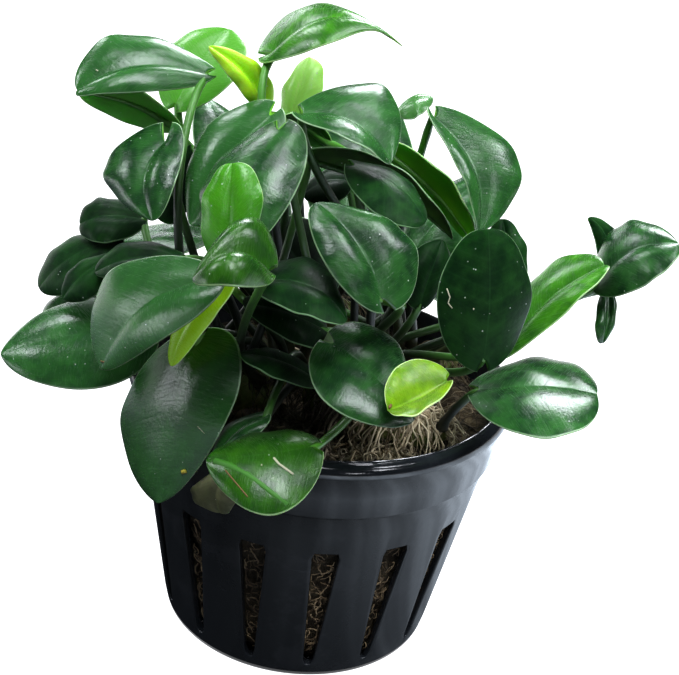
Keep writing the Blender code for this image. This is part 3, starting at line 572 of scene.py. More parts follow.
def leaf_seed(name):
    """A number from 0 to 1 that differs from leaf to leaf."""
    return (sum((place + 3) * ord(letter) for place, letter in enumerate(name)) % 997) / 997


def blade_grid(blade):
    shares = leaf_shares()
    grid = np.array([[blade_point(blade, share, across) for across in ACROSS] for share in shares])
    along = np.gradient(grid, axis=0)
    side = np.gradient(grid, axis=1)
    normals = np.cross(along, side)
    lengths = np.linalg.norm(normals, axis=2)
    lengths[lengths == 0] = 1.0
    normals /= lengths[:, :, None]
    if np.mean(normals @ blade["normal"]) < 0:
        normals = -normals
    return shares, grid, normals


def blade_relief(blade, shares, grid):
    """How far the blade's skin stands off its plain surface: waves near the margin, unevenness and veins."""
    seed = leaf_seed(blade["name"])
    shares = np.array(shares)[:, None]
    across = np.array(ACROSS)[None, :]
    fade = np.sin(np.pi * np.clip(shares, 0, 1)) ** 0.6
    side_turn = np.where(across < 0, 1.7, 0.0)
    waves = 0.16 * MM * np.abs(across) ** 3 * np.sin(math.tau * (2.1 + seed) * shares + 9 * seed + side_turn)
    uneven = np.zeros(grid.shape[:2])
    for row in range(grid.shape[0]):
        for column in range(grid.shape[1]):
            place = Vector(grid[row, column] * 170.0) + Vector((seed * 40.0, 0.0, 0.0))
            uneven[row, column] = 0.2 * MM * noise.noise(place)
    phase = vein_phase(shares, across)
    ribs = 0.5 - 0.5 * np.cos(math.tau * phase)
    quilt = 0.006 * MM * (ribs - 0.5) * np.clip(np.abs(across) * 6, 0, 1) * (1 - np.abs(across) ** 4)
    groove = -0.06 * MM * np.exp(-(across / 0.04) ** 2) * (1.0 - 0.7 * shares)
    valley = -VALLEY_DEPTH * np.exp(-(across / VALLEY_WIDTH) ** 2) * (1.0 - 0.5 * shares)
    rolled = -MARGIN_ROLL * across ** 6
    body = (waves + uneven + valley + rolled) * fade
    return body, body + (quilt + groove) * fade


def make_leaf(blade, route, materials):
    """One leaf: a thin blade with a rounded margin, its stalk, and the stalk's run under the midrib."""
    shares, grid, normals = blade_grid(blade)
    body, upper_relief = blade_relief(blade, shares, grid)
    across = np.array(ACROSS)
    slim = np.clip(3.0 * (1.0 - np.array(shares)) + 0.25, 0, 1)[:, None]
    thickness = (EDGE_THICKNESS + (BLADE_THICKNESS - EDGE_THICKNESS) * (1 - across[None, :] ** 2)) * slim
    upper = grid + normals * upper_relief[:, :, None]
    under = grid + normals * (body - thickness)[:, :, None]
    outer = []
    for column in (0, -1):
        away = grid[:, column] - grid[:, column + (1 if column == 0 else -1)]
        away /= np.maximum(np.linalg.norm(away, axis=1), 1e-9)[:, None]
        middle = 0.5 * (upper[:, column] + under[:, column])
        outer.append(middle + away * EDGE_THICKNESS * 0.45)
    columns = len(ACROSS)
    ring_size = 2 * columns + 2
    rings, share_values, across_values, vein_values, shade_values = [], [], [], [], []
    shade_above, shade_below = blade_shade(upper, normals, 1), blade_shade(under, normals, -1)
    ring_across = [*ACROSS, 1.0, *reversed(ACROSS), -1.0]
    for row, share in enumerate(shares):
        rings.append([*upper[row], outer[1][row], *under[row][::-1], outer[0][row]])
        share_values += [share] * ring_size
        across_values += ring_across
        shade_values += [*shade_above[row], shade_above[row, -1]]
        shade_values += [*shade_below[row, ::-1], shade_above[row, 0]]
        vein_values += [vein_phase(share, value) for value in ring_across]
    vertices, faces = join_rings(rings)
    kinds = [0 if column < columns - 1 else 1 for column in range(ring_size)] * (len(shares) - 1) + [1, 1]
    batch = Batch()
    batch.vertices, batch.faces, batch.kinds = vertices, faces, kinds
    batch.values = {"share": share_values, "across": across_values, "vein": vein_values,
                    "shade": shade_values}
    add_stalk(batch, blade, route, (shares, body[:, len(ACROSS) // 2]))
    seed = leaf_seed(blade["name"])
    batch.values["tone"] = [TONES.get(blade["name"], 0.5)] * len(batch.vertices)
    batch.values["leaf"] = [seed] * len(batch.vertices)
    return outward(batch.piece(blade["name"] + "_fine", materials))


def add_stalk(batch, blade, route, relief):
    """The stalk from its rhizome to the heel, and on under the midrib, thinning to the tip. `relief` is how
    far the midrib stands off its plain line, as shares of the length and heights."""
    points = []
    for step in range(STALK_STEPS + 1):
        share = step / STALK_STEPS
        dip = max(0.0, (share - 0.78) / 0.22) ** 2 * HEEL_DIP
        points.append(curve_point(route, share) - blade["normal"] * dip)
    radii, shares = [], []
    for step in range(STALK_STEPS + 1):
        share = step / STALK_STEPS
        foot = 0.55 * max(0.0, 1 - share / 0.22) ** 1.5
        knee = 0.1 * math.exp(-((share - 0.97) / 0.04) ** 2)
        radii.append(STALK_RADIUS * (1.0 + foot + knee - 0.2 * share))
        shares.append(share)
    for step in range(1, RIB_STEPS + 1):
        share = RIB_END * step / RIB_STEPS
        slim = min(1.0, 3.0 * (1.0 - share) + 0.25)
        radius = STALK_RADIUS * (0.72 * (1 - share) ** 0.8 + 0.1)
        depth = 0.6 * BLADE_THICKNESS * slim + 0.75 * radius - float(np.interp(share, *relief))
        points.append(midrib(blade, share) - blade["normal"] * depth)
        radii.append(radius)
        shares.append(1.0)
    vertices, faces = tube(points, radii, TUBE_SIDES)
    rows = [share for share in shares for _ in range(TUBE_SIDES)]
    shades = [shade_at(point, UP) for point in points]
    smooth = np.convolve([shades[0]] * 3 + shades + [shades[-1]] * 3, np.ones(7) / 7, "valid")
    rings = [shade for shade in smooth for _ in range(TUBE_SIDES)]
    batch.add(vertices, faces, 2, share=rows, across=0.0, vein=0.0, shade=rings)


# How bright a leaf is painted, partly how fresh its own green is and partly painted light and shade: 0 for
# the dark ones deep inside, 0.5 as most, 1 the brightest, 2 pale
TONES = {
    "leaf_centre_heart": 0.4, "leaf_centre_low": 0.37, "leaf_left_big": 0.8, "leaf_low_left_big": 0.75,
    "leaf_curled": 0.17, "leaf_left_lime": 1.0,
    "leaf_lime_cup": 0.24, "leaf_top_rolled": 0.85, "leaf_centre_right": 0.2, "leaf_bright_upright": 0.8,
    "leaf_front_low": 0.22, "leaf_right_folded": 0.5, "leaf_top_right": 0.68, "leaf_top_left": 0.75,
    "leaf_upper_left_heart": 0.42, "leaf_centre_left_big": 0.45, "leaf_centre_left_back": 0.8,
    "leaf_right_pendant": 0.7, "leaf_far_left": 0.7, "leaf_top_left_under": 1.45, "leaf_top_arched": 0.45,
    "leaf_top_pale": 1.25, "leaf_top_small": 1.6, "leaf_right_edge_on": 1.25, "leaf_right_underside": 0.9,
    "leaf_right_round": 0.25, "leaf_centre_dim": 0.15, "leaf_upper_inner": 0.3, "leaf_upper_middle": 0.0,
    "leaf_left_round": 0.2, "leaf_left_upper_dark": 0.25, "leaf_left_dark": 0.25, "leaf_left_inner": 0.3,
    "leaf_centre_below": 0.1, "leaf_centre_narrow": 0.35, "leaf_right_behind": 0.35,
    "leaf_upper_left_back": 0.25, "leaf_far_right_spike": 0.35, "leaf_top_under": 0.7,
}
SHADED_COPY_TONE = 0.35                   # up to this tone an old leaf takes the shaded copy of its materials, painted shade for leaves deep inside

# Scars and spots, each the picture points that it runs through, its radius in mm and its skin
MARKS = {
    "leaf_right_round": [([(447, 289), (450, 297), (448, 303), (452, 308)], 0.09, "pale"),
                         ([(473, 309)], 0.13, "pale")],
    "leaf_front_low": [([(274, 458), (279, 464), (286, 469), (293, 474)], 0.16, "pale"),
                       ([(226, 471), (236, 483), (247, 496)], 0.1, "brown"), ([(261, 465)], 0.14, "pale"),
                       ([(215, 462), (231, 467), (248, 476), (262, 486), (275, 496), (287, 505)], 0.56,
                        "fold")],
    "leaf_low_left_big": [([(182, 472), (186, 471)], 0.3, "yellow"),
                          ([(198, 427), (204, 433)], 0.05, "pale")],
    "leaf_left_big": [([(101, 361), (104, 362)], 0.11, "brown")],
    "leaf_lime_cup": [([(391, 405), (389, 408)], 0.2, "brown")],
    "leaf_centre_low": [([(404, 347)], 0.12, "pale"), ([(403, 354), (404, 355)], 0.07, "pale")],
    "leaf_top_left": [([(96, 70), (98, 71)], 0.08, "pale")],
}


FOLD_SUNK = 0.43 * MM               # how far a fold's middle line lies inside the blade


def seen_on(tree, point):
    """Where the line of sight through a picture point first meets a surface, or nothing."""
    return tree.ray_cast(Vector(EYE), Vector(unit(picture_ray(*point))))[0]


def add_marks(name, item):
    tree = solid_tree(item)
    batch = Batch()
    for line, radius, skin in MARKS[name]:
        places = [place for place in (seen_on(tree, point) for point in line) if place is not None]
        if not places:
            continue
        if len(places) == 1:
            places.append(places[0] + Vector((radius * MM, 0.0, 0.0)))
        before = places[0] + (places[0] - places[1]) * 0.1
        after = places[-1] + (places[-1] - places[-2]) * 0.1
        places = [before, *places, after]
        sink = FOLD_SUNK if skin == "fold" else -0.02 * MM
        points = np.array([place - Vector(EYE_BACK) * sink for place in places])
        radii = [radius * MM * size for size in [0.4] + [1.0] * (len(points) - 2) + [0.4]]
        vertices, faces = tube(points, radii, 6)
        batch.add(vertices, faces, MARK_KINDS.index(skin))
    return batch.piece(name + "_marks", [MARK_SKINS[kind] for kind in MARK_KINDS])


def make_fine_leaves():
    for blade in LEAVES:
        route = fit_to_solid(blade)
        age = blade["age"]
        name = blade["name"]
        # Dark-toned old leaves take the inner set, a shaded copy of the old materials: painted shade.
        inner = age == "old" and TONES.get(name, 0.5) <= SHADED_COPY_TONE
        item = make_leaf(blade, route, LEAF_MATERIALS["inner" if inner else age])
        stand_for(item, LEAF_SLOTS[age], name)
        if name in MARKS:
            stand_for(add_marks(name, item), LEAF_SLOTS[age])


# Materials

COLOUR_A, COLOUR_B, COLOUR_RESULT = 6, 7, 2     # the mix node's sockets for colours
VEIN_DEPTH = 0.07                   # of the leaf skin's relief


class Shader:
    """Adds and links the shader nodes of one material."""

    def __init__(self, name):
        self.material = bpy.data.materials.new(name)
        self.material.use_nodes = True
        self.tree = self.material.node_tree
        self.surface = self.tree.nodes["Principled BSDF"]

    def node(self, kind, inputs=None, **settings):
        made = self.tree.nodes.new(kind)
        for key, value in settings.items():
            setattr(made, key, value)
        for key, value in (inputs or {}).items():
            self.feed(made.inputs[key], value)
        return made

    def feed(self, socket, value):
        if isinstance(value, bpy.types.NodeSocket):
            self.tree.links.new(value, socket)
        else:
            socket.default_value = value

    def finish(self, **inputs):
        for key, value in inputs.items():
            self.feed(self.surface.inputs[key.replace("_", " ")], value)
        return self.material

    def number(self, name):
        """A vertex number of the mesh."""
        return self.node("ShaderNodeAttribute", attribute_name=name).outputs["Fac"]

    def math(self, operation, first, second=0.0):
        return self.node("ShaderNodeMath", {0: first, 1: second}, operation=operation).outputs[0]

    def times(self, first, second):
        return self.math("MULTIPLY", first, second)

    def plus(self, first, second):
        return self.math("ADD", first, second)

    def ramp(self, value, low, high, to_low=0.0, to_high=1.0):
        """A smooth step from one value to another."""
        made = self.node("ShaderNodeMapRange", {"Value": value, "From Min": low, "From Max": high,
                                                "To Min": to_low, "To Max": to_high},
                         interpolation_type="SMOOTHSTEP")
        return made.outputs["Result"]

    def place(self, scale=(1.0, 1.0, 1.0)):
        """The place on the object, in metres, stretched by `scale`."""
        coordinates = self.node("ShaderNodeTexCoord").outputs["Object"]
        return self.node("ShaderNodeMapping", {"Vector": coordinates, "Scale": scale}).outputs["Vector"]

    def noise(self, scale, detail=3.0, roughness=0.55, vector=None):
        inputs = {"Scale": scale, "Detail": detail, "Roughness": roughness,
                  "Vector": vector if vector is not None else self.place()}
        return self.node("ShaderNodeTexNoise", inputs).outputs["Fac"]

    def mix(self, share, first, second, blend="MIX"):
        made = self.node("ShaderNodeMix", data_type="RGBA", blend_type=blend)
        self.feed(made.inputs["Factor"], share)
        self.feed(made.inputs[COLOUR_A], first)
        self.feed(made.inputs[COLOUR_B], second)
        return made.outputs[COLOUR_RESULT]

    def bump(self, height, strength, distance):
        return self.node("ShaderNodeBump", {"Height": height, "Strength": strength, "Distance": distance}
                         ).outputs["Normal"]


def colour(red, green, blue):
    return (red, green, blue, 1.0)


def leaf_face(name, deep, fresh, rib, margin, shine, see_through, gloss, painted_glow):
    """A leaf's skin: mottled green, a painted rim highlight along its margin, fine side veins, pale specks
    and a streaky gloss. Its tone adds painted light and shade to its own green, and painted shade darkens it
    where the plant closes it in. The last argument is the strength of a painted glow that stands in for the
    light behind the blade shining through it."""
    shader = Shader(name)
    across = shader.math("ABSOLUTE", shader.number("across"))
    mottle = shader.ramp(shader.noise(420.0, 4.0), 0.32, 0.7)
    base = shader.mix(mottle, deep, fresh)
    tone = shader.number("tone")
    # Painted light and shade by tone, on top of the leaf's own freshness: low tones darken the leaf towards
    # black, high tones brighten and pale it.
    base = shader.mix(shader.ramp(tone, 0.5, 1.0), base, fresh)
    base = shader.mix(shader.ramp(tone, 0.0, 0.6, 0.75, 0.0), base, colour(0.002, 0.008, 0.003))
    base = shader.mix(shader.ramp(tone, 1.0, 2.0), base, colour(0.24, 0.48, 0.17))
    # Painted shade: the blade darkens towards black where the plant closes it in, less on bright-toned
    # leaves, and turns rougher there.
    shade = shader.number("shade")
    depth = shader.times(shader.ramp(shade, 0.45, 0.95, 0.0, 0.88), shader.ramp(tone, 0.6, 1.0, 1.0, 0.0))
    base = shader.mix(depth, base, colour(0.001, 0.004, 0.002))
    phase = shader.number("vein")
    wave = shader.math("PINGPONG", phase, 0.5)
    side_vein = shader.ramp(wave, 0.0, 0.16, 1.0, 0.0)
    streak_place = shader.node("ShaderNodeCombineXYZ", {"X": shader.times(phase, 5.0),
                                                        "Y": shader.times(across, 2.2),
                                                        "Z": shader.times(shader.number("leaf"), 37.0)})
    streaks = shader.noise(2.4, 4.0, 0.6, streak_place.outputs["Vector"])
    base = shader.mix(shader.times(side_vein, 0.04), base, rib)
    base = shader.mix(shader.ramp(across, 0.004, 0.03, 0.12, 0.0), base, rib)
    # Painted rim highlight: a pale line along the margin.
    base = shader.mix(shader.ramp(across, 0.975, 1.0, 0.0, 0.85), base, margin)
    # Pale specks, gathered in patches at random.
    dots = shader.node("ShaderNodeTexVoronoi", {"Vector": shader.place(), "Scale": 850.0}).outputs["Distance"]
    speck_patches = shader.ramp(shader.noise(150.0, 2.0), 0.46, 0.6)
    speck = shader.times(shader.ramp(dots, 0.05, 0.09, 1.0, 0.0), speck_patches)
    base = shader.mix(speck, base, colour(0.5, 0.56, 0.5))
    roughness = shader.ramp(streaks, 0.3, 0.7, shine - 0.06, shine + 0.1)
    roughness = shader.plus(roughness, shader.times(depth, 0.35))
    grain = shader.noise(1900.0, 5.0, 0.62)
    height = shader.plus(shader.times(grain, 0.5),
                         shader.plus(shader.times(streaks, 0.18),
                                     shader.times(side_vein, -VEIN_DEPTH)))
    # Painted glow: bright-toned blades glow in their own colour, standing in for light shining through them.
    return shader.finish(
        Base_Color=base, Roughness=roughness, Normal=shader.bump(height, 0.55, 0.00012),
        Subsurface_Weight=see_through, Subsurface_Radius=(0.35, 1.0, 0.12), Subsurface_Scale=0.0012,
        IOR=gloss, Emission_Color=shader.mix(shader.ramp(tone, 0.86, 1.0), colour(0.0, 0.0, 0.0), base),
        Emission_Strength=painted_glow)


def stalk_skin(name, foot, top):
    """A stalk's skin: pale and brownish at its foot, green above, with fine lines along it; painted shade
    darkens it where the plant closes it in, less towards its top.
    """
    shader = Shader(name)
    climb = shader.number("share")
    base = shader.mix(shader.ramp(climb, 0.02, 0.2), foot, colour(0.018, 0.05, 0.01))
    base = shader.mix(shader.ramp(climb, 0.35, 0.95), base, top)
    base = shader.mix(shader.times(shader.noise(900.0), 0.3), base, colour(0.02, 0.06, 0.01))
    # Painted shade: towards black where the plant closes the stalk in, less near the blade.
    depth = shader.times(shader.ramp(shader.number("shade"), 0.55, 0.95, 0.0, 0.9),
                        shader.ramp(climb, 0.5, 1.0, 1.0, 0.25))
    base = shader.mix(depth, base, colour(0.001, 0.004, 0.002))
    height = shader.noise(3500.0, 3.0)
    return shader.finish(Base_Color=base, Roughness=0.38, Normal=shader.bump(height, 0.3, 0.0001),
                         Subsurface_Weight=0.25, Subsurface_Radius=(0.4, 1.0, 0.15), Subsurface_Scale=0.0012)


YOUNG_PAINTED_GLOW = 0.24           # painted glow of a young blade, which stands in for the light behind it shining through


def leaf_set(age, deep, fresh, under_deep, under_fresh, rib, margin, shine, see_through, stalk_top,
             gloss=1.45):
    painted_glow = YOUNG_PAINTED_GLOW if age == "young" else 0.0
    return [
        leaf_face(f"leaf_{age}_upper", deep, fresh, rib, margin, shine, see_through, gloss, painted_glow),
        # The underside's greens are brighter: partly the underside's own paler green, partly painted light
        # shining through the blade.
        leaf_face(f"leaf_{age}_under", under_deep, under_fresh, rib, margin, shine + 0.12, see_through,
                  gloss, painted_glow),
        stalk_skin(f"leaf_{age}_stalk", colour(0.26, 0.25, 0.1), stalk_top),
    ]


# Each set's margin colour is a painted rim highlight.
LEAF_MATERIALS = {
    "old": leaf_set("old", colour(0.011, 0.05, 0.015), colour(0.034, 0.135, 0.03), colour(0.08, 0.24, 0.018),
                    colour(0.15, 0.4, 0.024), colour(0.05, 0.17, 0.05), colour(0.34, 0.5, 0.3), 0.2, 0.1,
                    colour(0.09, 0.28, 0.04)),
    # The inner set is a shaded copy of the old one for leaves deep inside: darker greens and margin, rougher,
    # with less gloss; painted shade.
    "inner": leaf_set("inner", colour(0.008, 0.04, 0.012), colour(0.024, 0.1, 0.022),
                      colour(0.04, 0.17, 0.015), colour(0.08, 0.3, 0.02), colour(0.05, 0.17, 0.05),
                      colour(0.24, 0.4, 0.22), 0.34, 0.1, colour(0.09, 0.28, 0.04), 1.14),
    "mid": leaf_set("mid", colour(0.03, 0.14, 0.014), colour(0.07, 0.28, 0.014), colour(0.09, 0.3, 0.01),
                    colour(0.16, 0.48, 0.012), colour(0.08, 0.3, 0.04), colour(0.42, 0.64, 0.3), 0.22, 0.2,
                    colour(0.11, 0.36, 0.04)),
    "young": leaf_set("young", colour(0.2, 0.42, 0.014), colour(0.4, 0.7, 0.02), colour(0.3, 0.72, 0.02),
                      colour(0.46, 0.9, 0.03), colour(0.3, 0.75, 0.05), colour(0.6, 0.9, 0.35), 0.28, 0.35,
                      colour(0.2, 0.5, 0.04)),
    "dried": leaf_set("dried", colour(0.1, 0.11, 0.04), colour(0.22, 0.23, 0.1), colour(0.14, 0.14, 0.06),
                      colour(0.26, 0.26, 0.13), colour(0.3, 0.28, 0.16), colour(0.3, 0.3, 0.18), 0.6, 0.15,
                      colour(0.2, 0.18, 0.08)),
}
MARK_KINDS = ("pale", "brown", "yellow", "fold")
MARK_COLOURS = {"pale": colour(0.5, 0.5, 0.36), "brown": colour(0.16, 0.09, 0.03),
                "yellow": colour(0.42, 0.36, 0.03), "fold": colour(0.045, 0.19, 0.015)}
MARK_SKINS = {kind: Shader("mark_" + kind).finish(Base_Color=MARK_COLOURS[kind], Roughness=0.6)
              for kind in MARK_KINDS}
LEAF_SLOTS = {"old": "leaf_mature", "mid": "leaf_half_grown", "young": "leaf_young", "dried": "leaf_dried"}


def pot_plastic():
    """Black glossy plastic with faint water marks and fine scuffs."""
    shader = Shader("pot_plastic")
    marks = shader.ramp(shader.noise(160.0, 5.0, 0.65), 0.5, 0.62)
    film = shader.ramp(shader.noise(75.0, 3.0), 0.4, 0.75)
    scuffs = shader.noise(60.0, 4.0, 0.7, shader.place((1.0, 1.0, 22.0)))
    base = shader.mix(shader.times(marks, 0.35), colour(0.018, 0.022, 0.027),
                      colour(0.045, 0.05, 0.06))
    roughness = shader.plus(shader.ramp(film, 0.0, 1.0, 0.12, 0.24),
                            shader.times(shader.ramp(scuffs, 0.55, 0.75), 0.1))
    height = shader.noise(700.0, 3.0)
    return shader.finish(Base_Color=base, Roughness=roughness, Normal=shader.bump(height, 0.12, 0.0002),
                         IOR=1.5)


def fibre_body():
    """Matted mineral fibre, brown and tan, in dark and paler patches at random, with paler strands."""
    shader = Shader("rockwool_body")
    patches = shader.ramp(shader.noise(260.0, 5.0, 0.6), 0.35, 0.68)
    strands = shader.noise(900.0, 5.0, 0.7, shader.place((1.0, 1.0, 0.35)))
    base = shader.mix(patches, colour(0.035, 0.024, 0.011), colour(0.15, 0.115, 0.06))
    base = shader.mix(shader.ramp(strands, 0.5, 0.75, 0.0, 0.6), base, colour(0.22, 0.17, 0.09))
    height = shader.plus(strands, shader.noise(3200.0, 4.0))
    return shader.finish(Base_Color=base, Roughness=0.9, Normal=shader.bump(height, 0.9, 0.0005))


def strand_skin(name, dark, pale, roughness):
    """Thin strands whose colour changes from one to the next, with painted shade where the plant closes them
    in.
    """
    shader = Shader(name)
    base = shader.mix(shader.number("tone"), dark, pale)
    base = shader.mix(shader.times(shader.noise(800.0), 0.4), base, dark)
    # Painted shade: towards black where the plant closes the strand in.
    depth = shader.ramp(shader.number("shade"), 0.55, 0.9, 0.0, 0.9)
    return shader.finish(Base_Color=shader.mix(depth, base, colour(0.004, 0.003, 0.002)), Roughness=roughness)


def rhizome_skin():
    """The root-stock's skin: tan-green, browner at its scars."""
    shader = Shader("rhizome_skin")
    patches = shader.ramp(shader.noise(330.0, 5.0), 0.35, 0.65)
    base = shader.mix(patches, colour(0.07, 0.11, 0.02), colour(0.22, 0.26, 0.07))
    scar = shader.number("scar")
    base = shader.mix(scar, base, colour(0.10, 0.055, 0.025))
    bark = shader.ramp(shader.noise(1500.0, 4.0), 0.55, 0.7, 0.0, 0.5)
    base = shader.mix(bark, base, colour(0.3, 0.24, 0.12))
    height = shader.plus(shader.noise(2500.0, 4.0), shader.times(scar, -0.8))
    return shader.finish(Base_Color=base, Roughness=0.5, Normal=shader.bump(height, 0.6, 0.0003),
                         Subsurface_Weight=0.1, Subsurface_Radius=(0.6, 1.0, 0.2), Subsurface_Scale=0.001)


# Pot

ANGLES_IN_SLOT = 5
ANGLES_IN_RIB = 11
WALL_ROWS = 22
SLOT_CORNER = 0.8 * MM
SLOT_EDGE_ROUNDING = 0.18 * MM
ARC_STEPS = 5


def slot_half_angle(height):
    """Half the angle that a slot takes at a height; its corners are rounded."""
    share = min(1.0, max(0.0, (height - SLOT_BOTTOM) / (SLOT_TOP - SLOT_BOTTOM)))
    width = SLOT_WIDTH_BOTTOM + share * (SLOT_WIDTH_TOP - SLOT_WIDTH_BOTTOM)
    for end in (SLOT_TOP - height, height - SLOT_BOTTOM):
        if end < SLOT_CORNER:
            into = 1 - max(0.0, end) / SLOT_CORNER
            width -= 2 * 0.35 * SLOT_CORNER * (1 - math.sqrt(max(0.0, 1 - into * into)))
    return 0.5 * width / wall_radius(SLOT_BOTTOM + share * (SLOT_TOP - SLOT_BOTTOM))


def fine_angles(height):
    """Angles of the fine pot's upright lines, slot by slot."""
    half = slot_half_angle(height)
    pitch = math.tau / SLOT_COUNT
    angles = []
    for slot in range(SLOT_COUNT):
        middle = FIRST_SLOT_ANGLE + slot * pitch
        for step in range(ANGLES_IN_SLOT):
            angles.append(middle - half + 2 * half * step / ANGLES_IN_SLOT)
        for step in range(ANGLES_IN_RIB):
            angles.append(middle + half + (pitch - 2 * half) * step / ANGLES_IN_RIB)
    return angles


def arc(centre, radius, start, end, steps=ARC_STEPS):
    """Points of a profile's arc, (radius, height), by degrees anticlockwise from outward."""
    points = []
    for step in range(steps + 1):
        turn = math.radians(start + (end - start) * step / steps)
        points.append((centre[0] + radius * math.cos(turn), centre[1] + radius * math.sin(turn)))
    return points


def outer_profile():
    lip_low = POT_HEIGHT - LIP_HEIGHT
    corner = 0.5 * MM
    roll = LIP_TOP_WIDTH
    rows = [(BASE_FLAT_RADIUS, 0.0)]
    rows += arc((WALL_RADIUS_AT_BASE - 0.85 * MM, 0.9 * MM), 0.9 * MM, -70, -8)
    base_rows = len(rows)
    for row in range(WALL_ROWS + 1):
        height = SLOT_BOTTOM + (SLOT_TOP - SLOT_BOTTOM) * row / WALL_ROWS
        rows.append((wall_radius(height), height))
    rows += [(wall_radius(SLOT_TOP + 3 * MM), SLOT_TOP + 3 * MM),
             (WALL_RADIUS_AT_LEDGE, LEDGE_HEIGHT - 0.7 * MM)]
    rows += arc((WALL_RADIUS_AT_LEDGE + 0.1 * MM, LEDGE_HEIGHT + 0.1 * MM), corner, -80, -5, 3)
    rows += [(BAND_RADIUS - 0.15 * MM, LEDGE_HEIGHT + 3 * MM), (BAND_RADIUS, lip_low - 0.3 * MM)]
    rows += [(BAND_RADIUS + 0.3 * MM, lip_low)]
    rows += arc((LIP_RADIUS - 0.25 * MM, lip_low + 0.25 * MM), 0.25 * MM, -90, 0, 3)
    rows += arc((LIP_RADIUS - roll, POT_HEIGHT - roll), roll, 5, 90, 9)
    return rows, base_rows


def inner_profile():
    roll = 0.4 * MM
    rows = arc((LIP_RADIUS - LIP_TOP_WIDTH + roll, POT_HEIGHT - roll), roll, 90, 180, 3)
    rows += [(BAND_RADIUS - WALL, POT_HEIGHT - LIP_HEIGHT),
             (WALL_RADIUS_AT_LEDGE - WALL, LEDGE_HEIGHT)]
    start = len(rows)
    for row in range(WALL_ROWS + 1):
        height = SLOT_TOP - (SLOT_TOP - SLOT_BOTTOM) * row / WALL_ROWS
        rows.append((wall_radius(height) - WALL, height))
    rows += [(FLOOR_RADIUS + 0.6 * MM, FLOOR + 0.4 * MM), (FLOOR_RADIUS, FLOOR)]
    return rows, start


def make_fine_pot():
    outside, slot_start = outer_profile()
    inside, inner_start = inner_profile()
    rows = outside + inside
    columns = SLOT_COUNT * (ANGLES_IN_SLOT + ANGLES_IN_RIB)
    group = ANGLES_IN_SLOT + ANGLES_IN_RIB
    vertices = []
    for radius, height in rows:
        for angle in fine_angles(height):
            vertices.append((radius * math.cos(angle), radius * math.sin(angle), height))
    inner_start += len(outside)
    slot_rows = set(range(slot_start, slot_start + WALL_ROWS))
    slot_rows |= set(range(inner_start, inner_start + WALL_ROWS))
    faces = []
    for row in range(len(rows) - 1):
        for column in range(columns):
            if row in slot_rows and column % group < ANGLES_IN_SLOT:
                continue
            following = (column + 1) % columns
            low, high = row * columns, (row + 1) * columns
            faces.append((low + column, low + following, high + following, high + column))
    for slot in range(SLOT_COUNT):
        left = slot * group
        right = left + ANGLES_IN_SLOT
        for row in range(WALL_ROWS):
            outer_low, outer_high = slot_start + row, slot_start + row + 1
            inner_low, inner_high = inner_start + WALL_ROWS - row, inner_start + WALL_ROWS - row - 1
            for column in (left, right):
                corners = (outer_low, outer_high, inner_high, inner_low)
                faces.append(tuple(line * columns + column for line in corners))
        for outer_row, inner_row in ((slot_start + WALL_ROWS, inner_start),
                                     (slot_start, inner_start + WALL_ROWS)):
            for column in range(left, right):
                faces.append((outer_row * columns + column, outer_row * columns + column + 1,
                              inner_row * columns + column + 1, inner_row * columns + column))
    floor_row = len(rows) - 1
    faces.append(tuple(range(columns)))
    faces.append(tuple(floor_row * columns + column for column in reversed(range(columns))))
    item = outward(add_piece("net_pot_fine", vertices, faces, [pot_plastic()]))
    bevel = item.modifiers.new("soft slot edges", "BEVEL")
    bevel.width = SLOT_EDGE_ROUNDING
    bevel.segments = 2
    bevel.limit_method = "ANGLE"
    bevel.angle_limit = math.radians(55)
    return stand_for(item, "pot_plastic", "net_pot")


# Rockwool and what grows over it

PLUG_SIDES = 180
PLUG_ROWS = 70
TOP_ROWS = 60
STRANDS = 2600
PLUG_EDGE = 24.2 * MM               # the lumps of the rockwool's top fade out towards this radius
STRAND_LIMIT = 24.3 * MM            # how far from the axis strands reach
ROOTS = 1500
ROOT_SHIFT = (1.0 * MM, -2.0 * MM)  # from the front rhizome to the middle of its roots
RHIZOME_STEPS = 24
STRANDS_A_SLOT = 60
SLOT_STRAND_STEPS = 8


def plug_height(x, y):
    """Height of the rockwool's lumpy top, which rises towards the rhizome at the front right."""
    place = Vector((x * 330.0, y * 330.0, 4.0))
    lumps = 0.7 * MM * noise.fractal(place, 1.0, 2.0, 4)
    rise = 2.3 * MM * math.exp(-(((x - 13 * MM) / (8 * MM)) ** 2 + ((y + 14 * MM) / (6 * MM)) ** 2))
    edge = min(1.0, max(0.0, (PLUG_EDGE - math.hypot(x, y)) / (3.0 * MM)))
    return ROCKWOOL_TOP - 0.5 * MM + (lumps + rise) * edge - 0.5 * MM * (1 - edge)


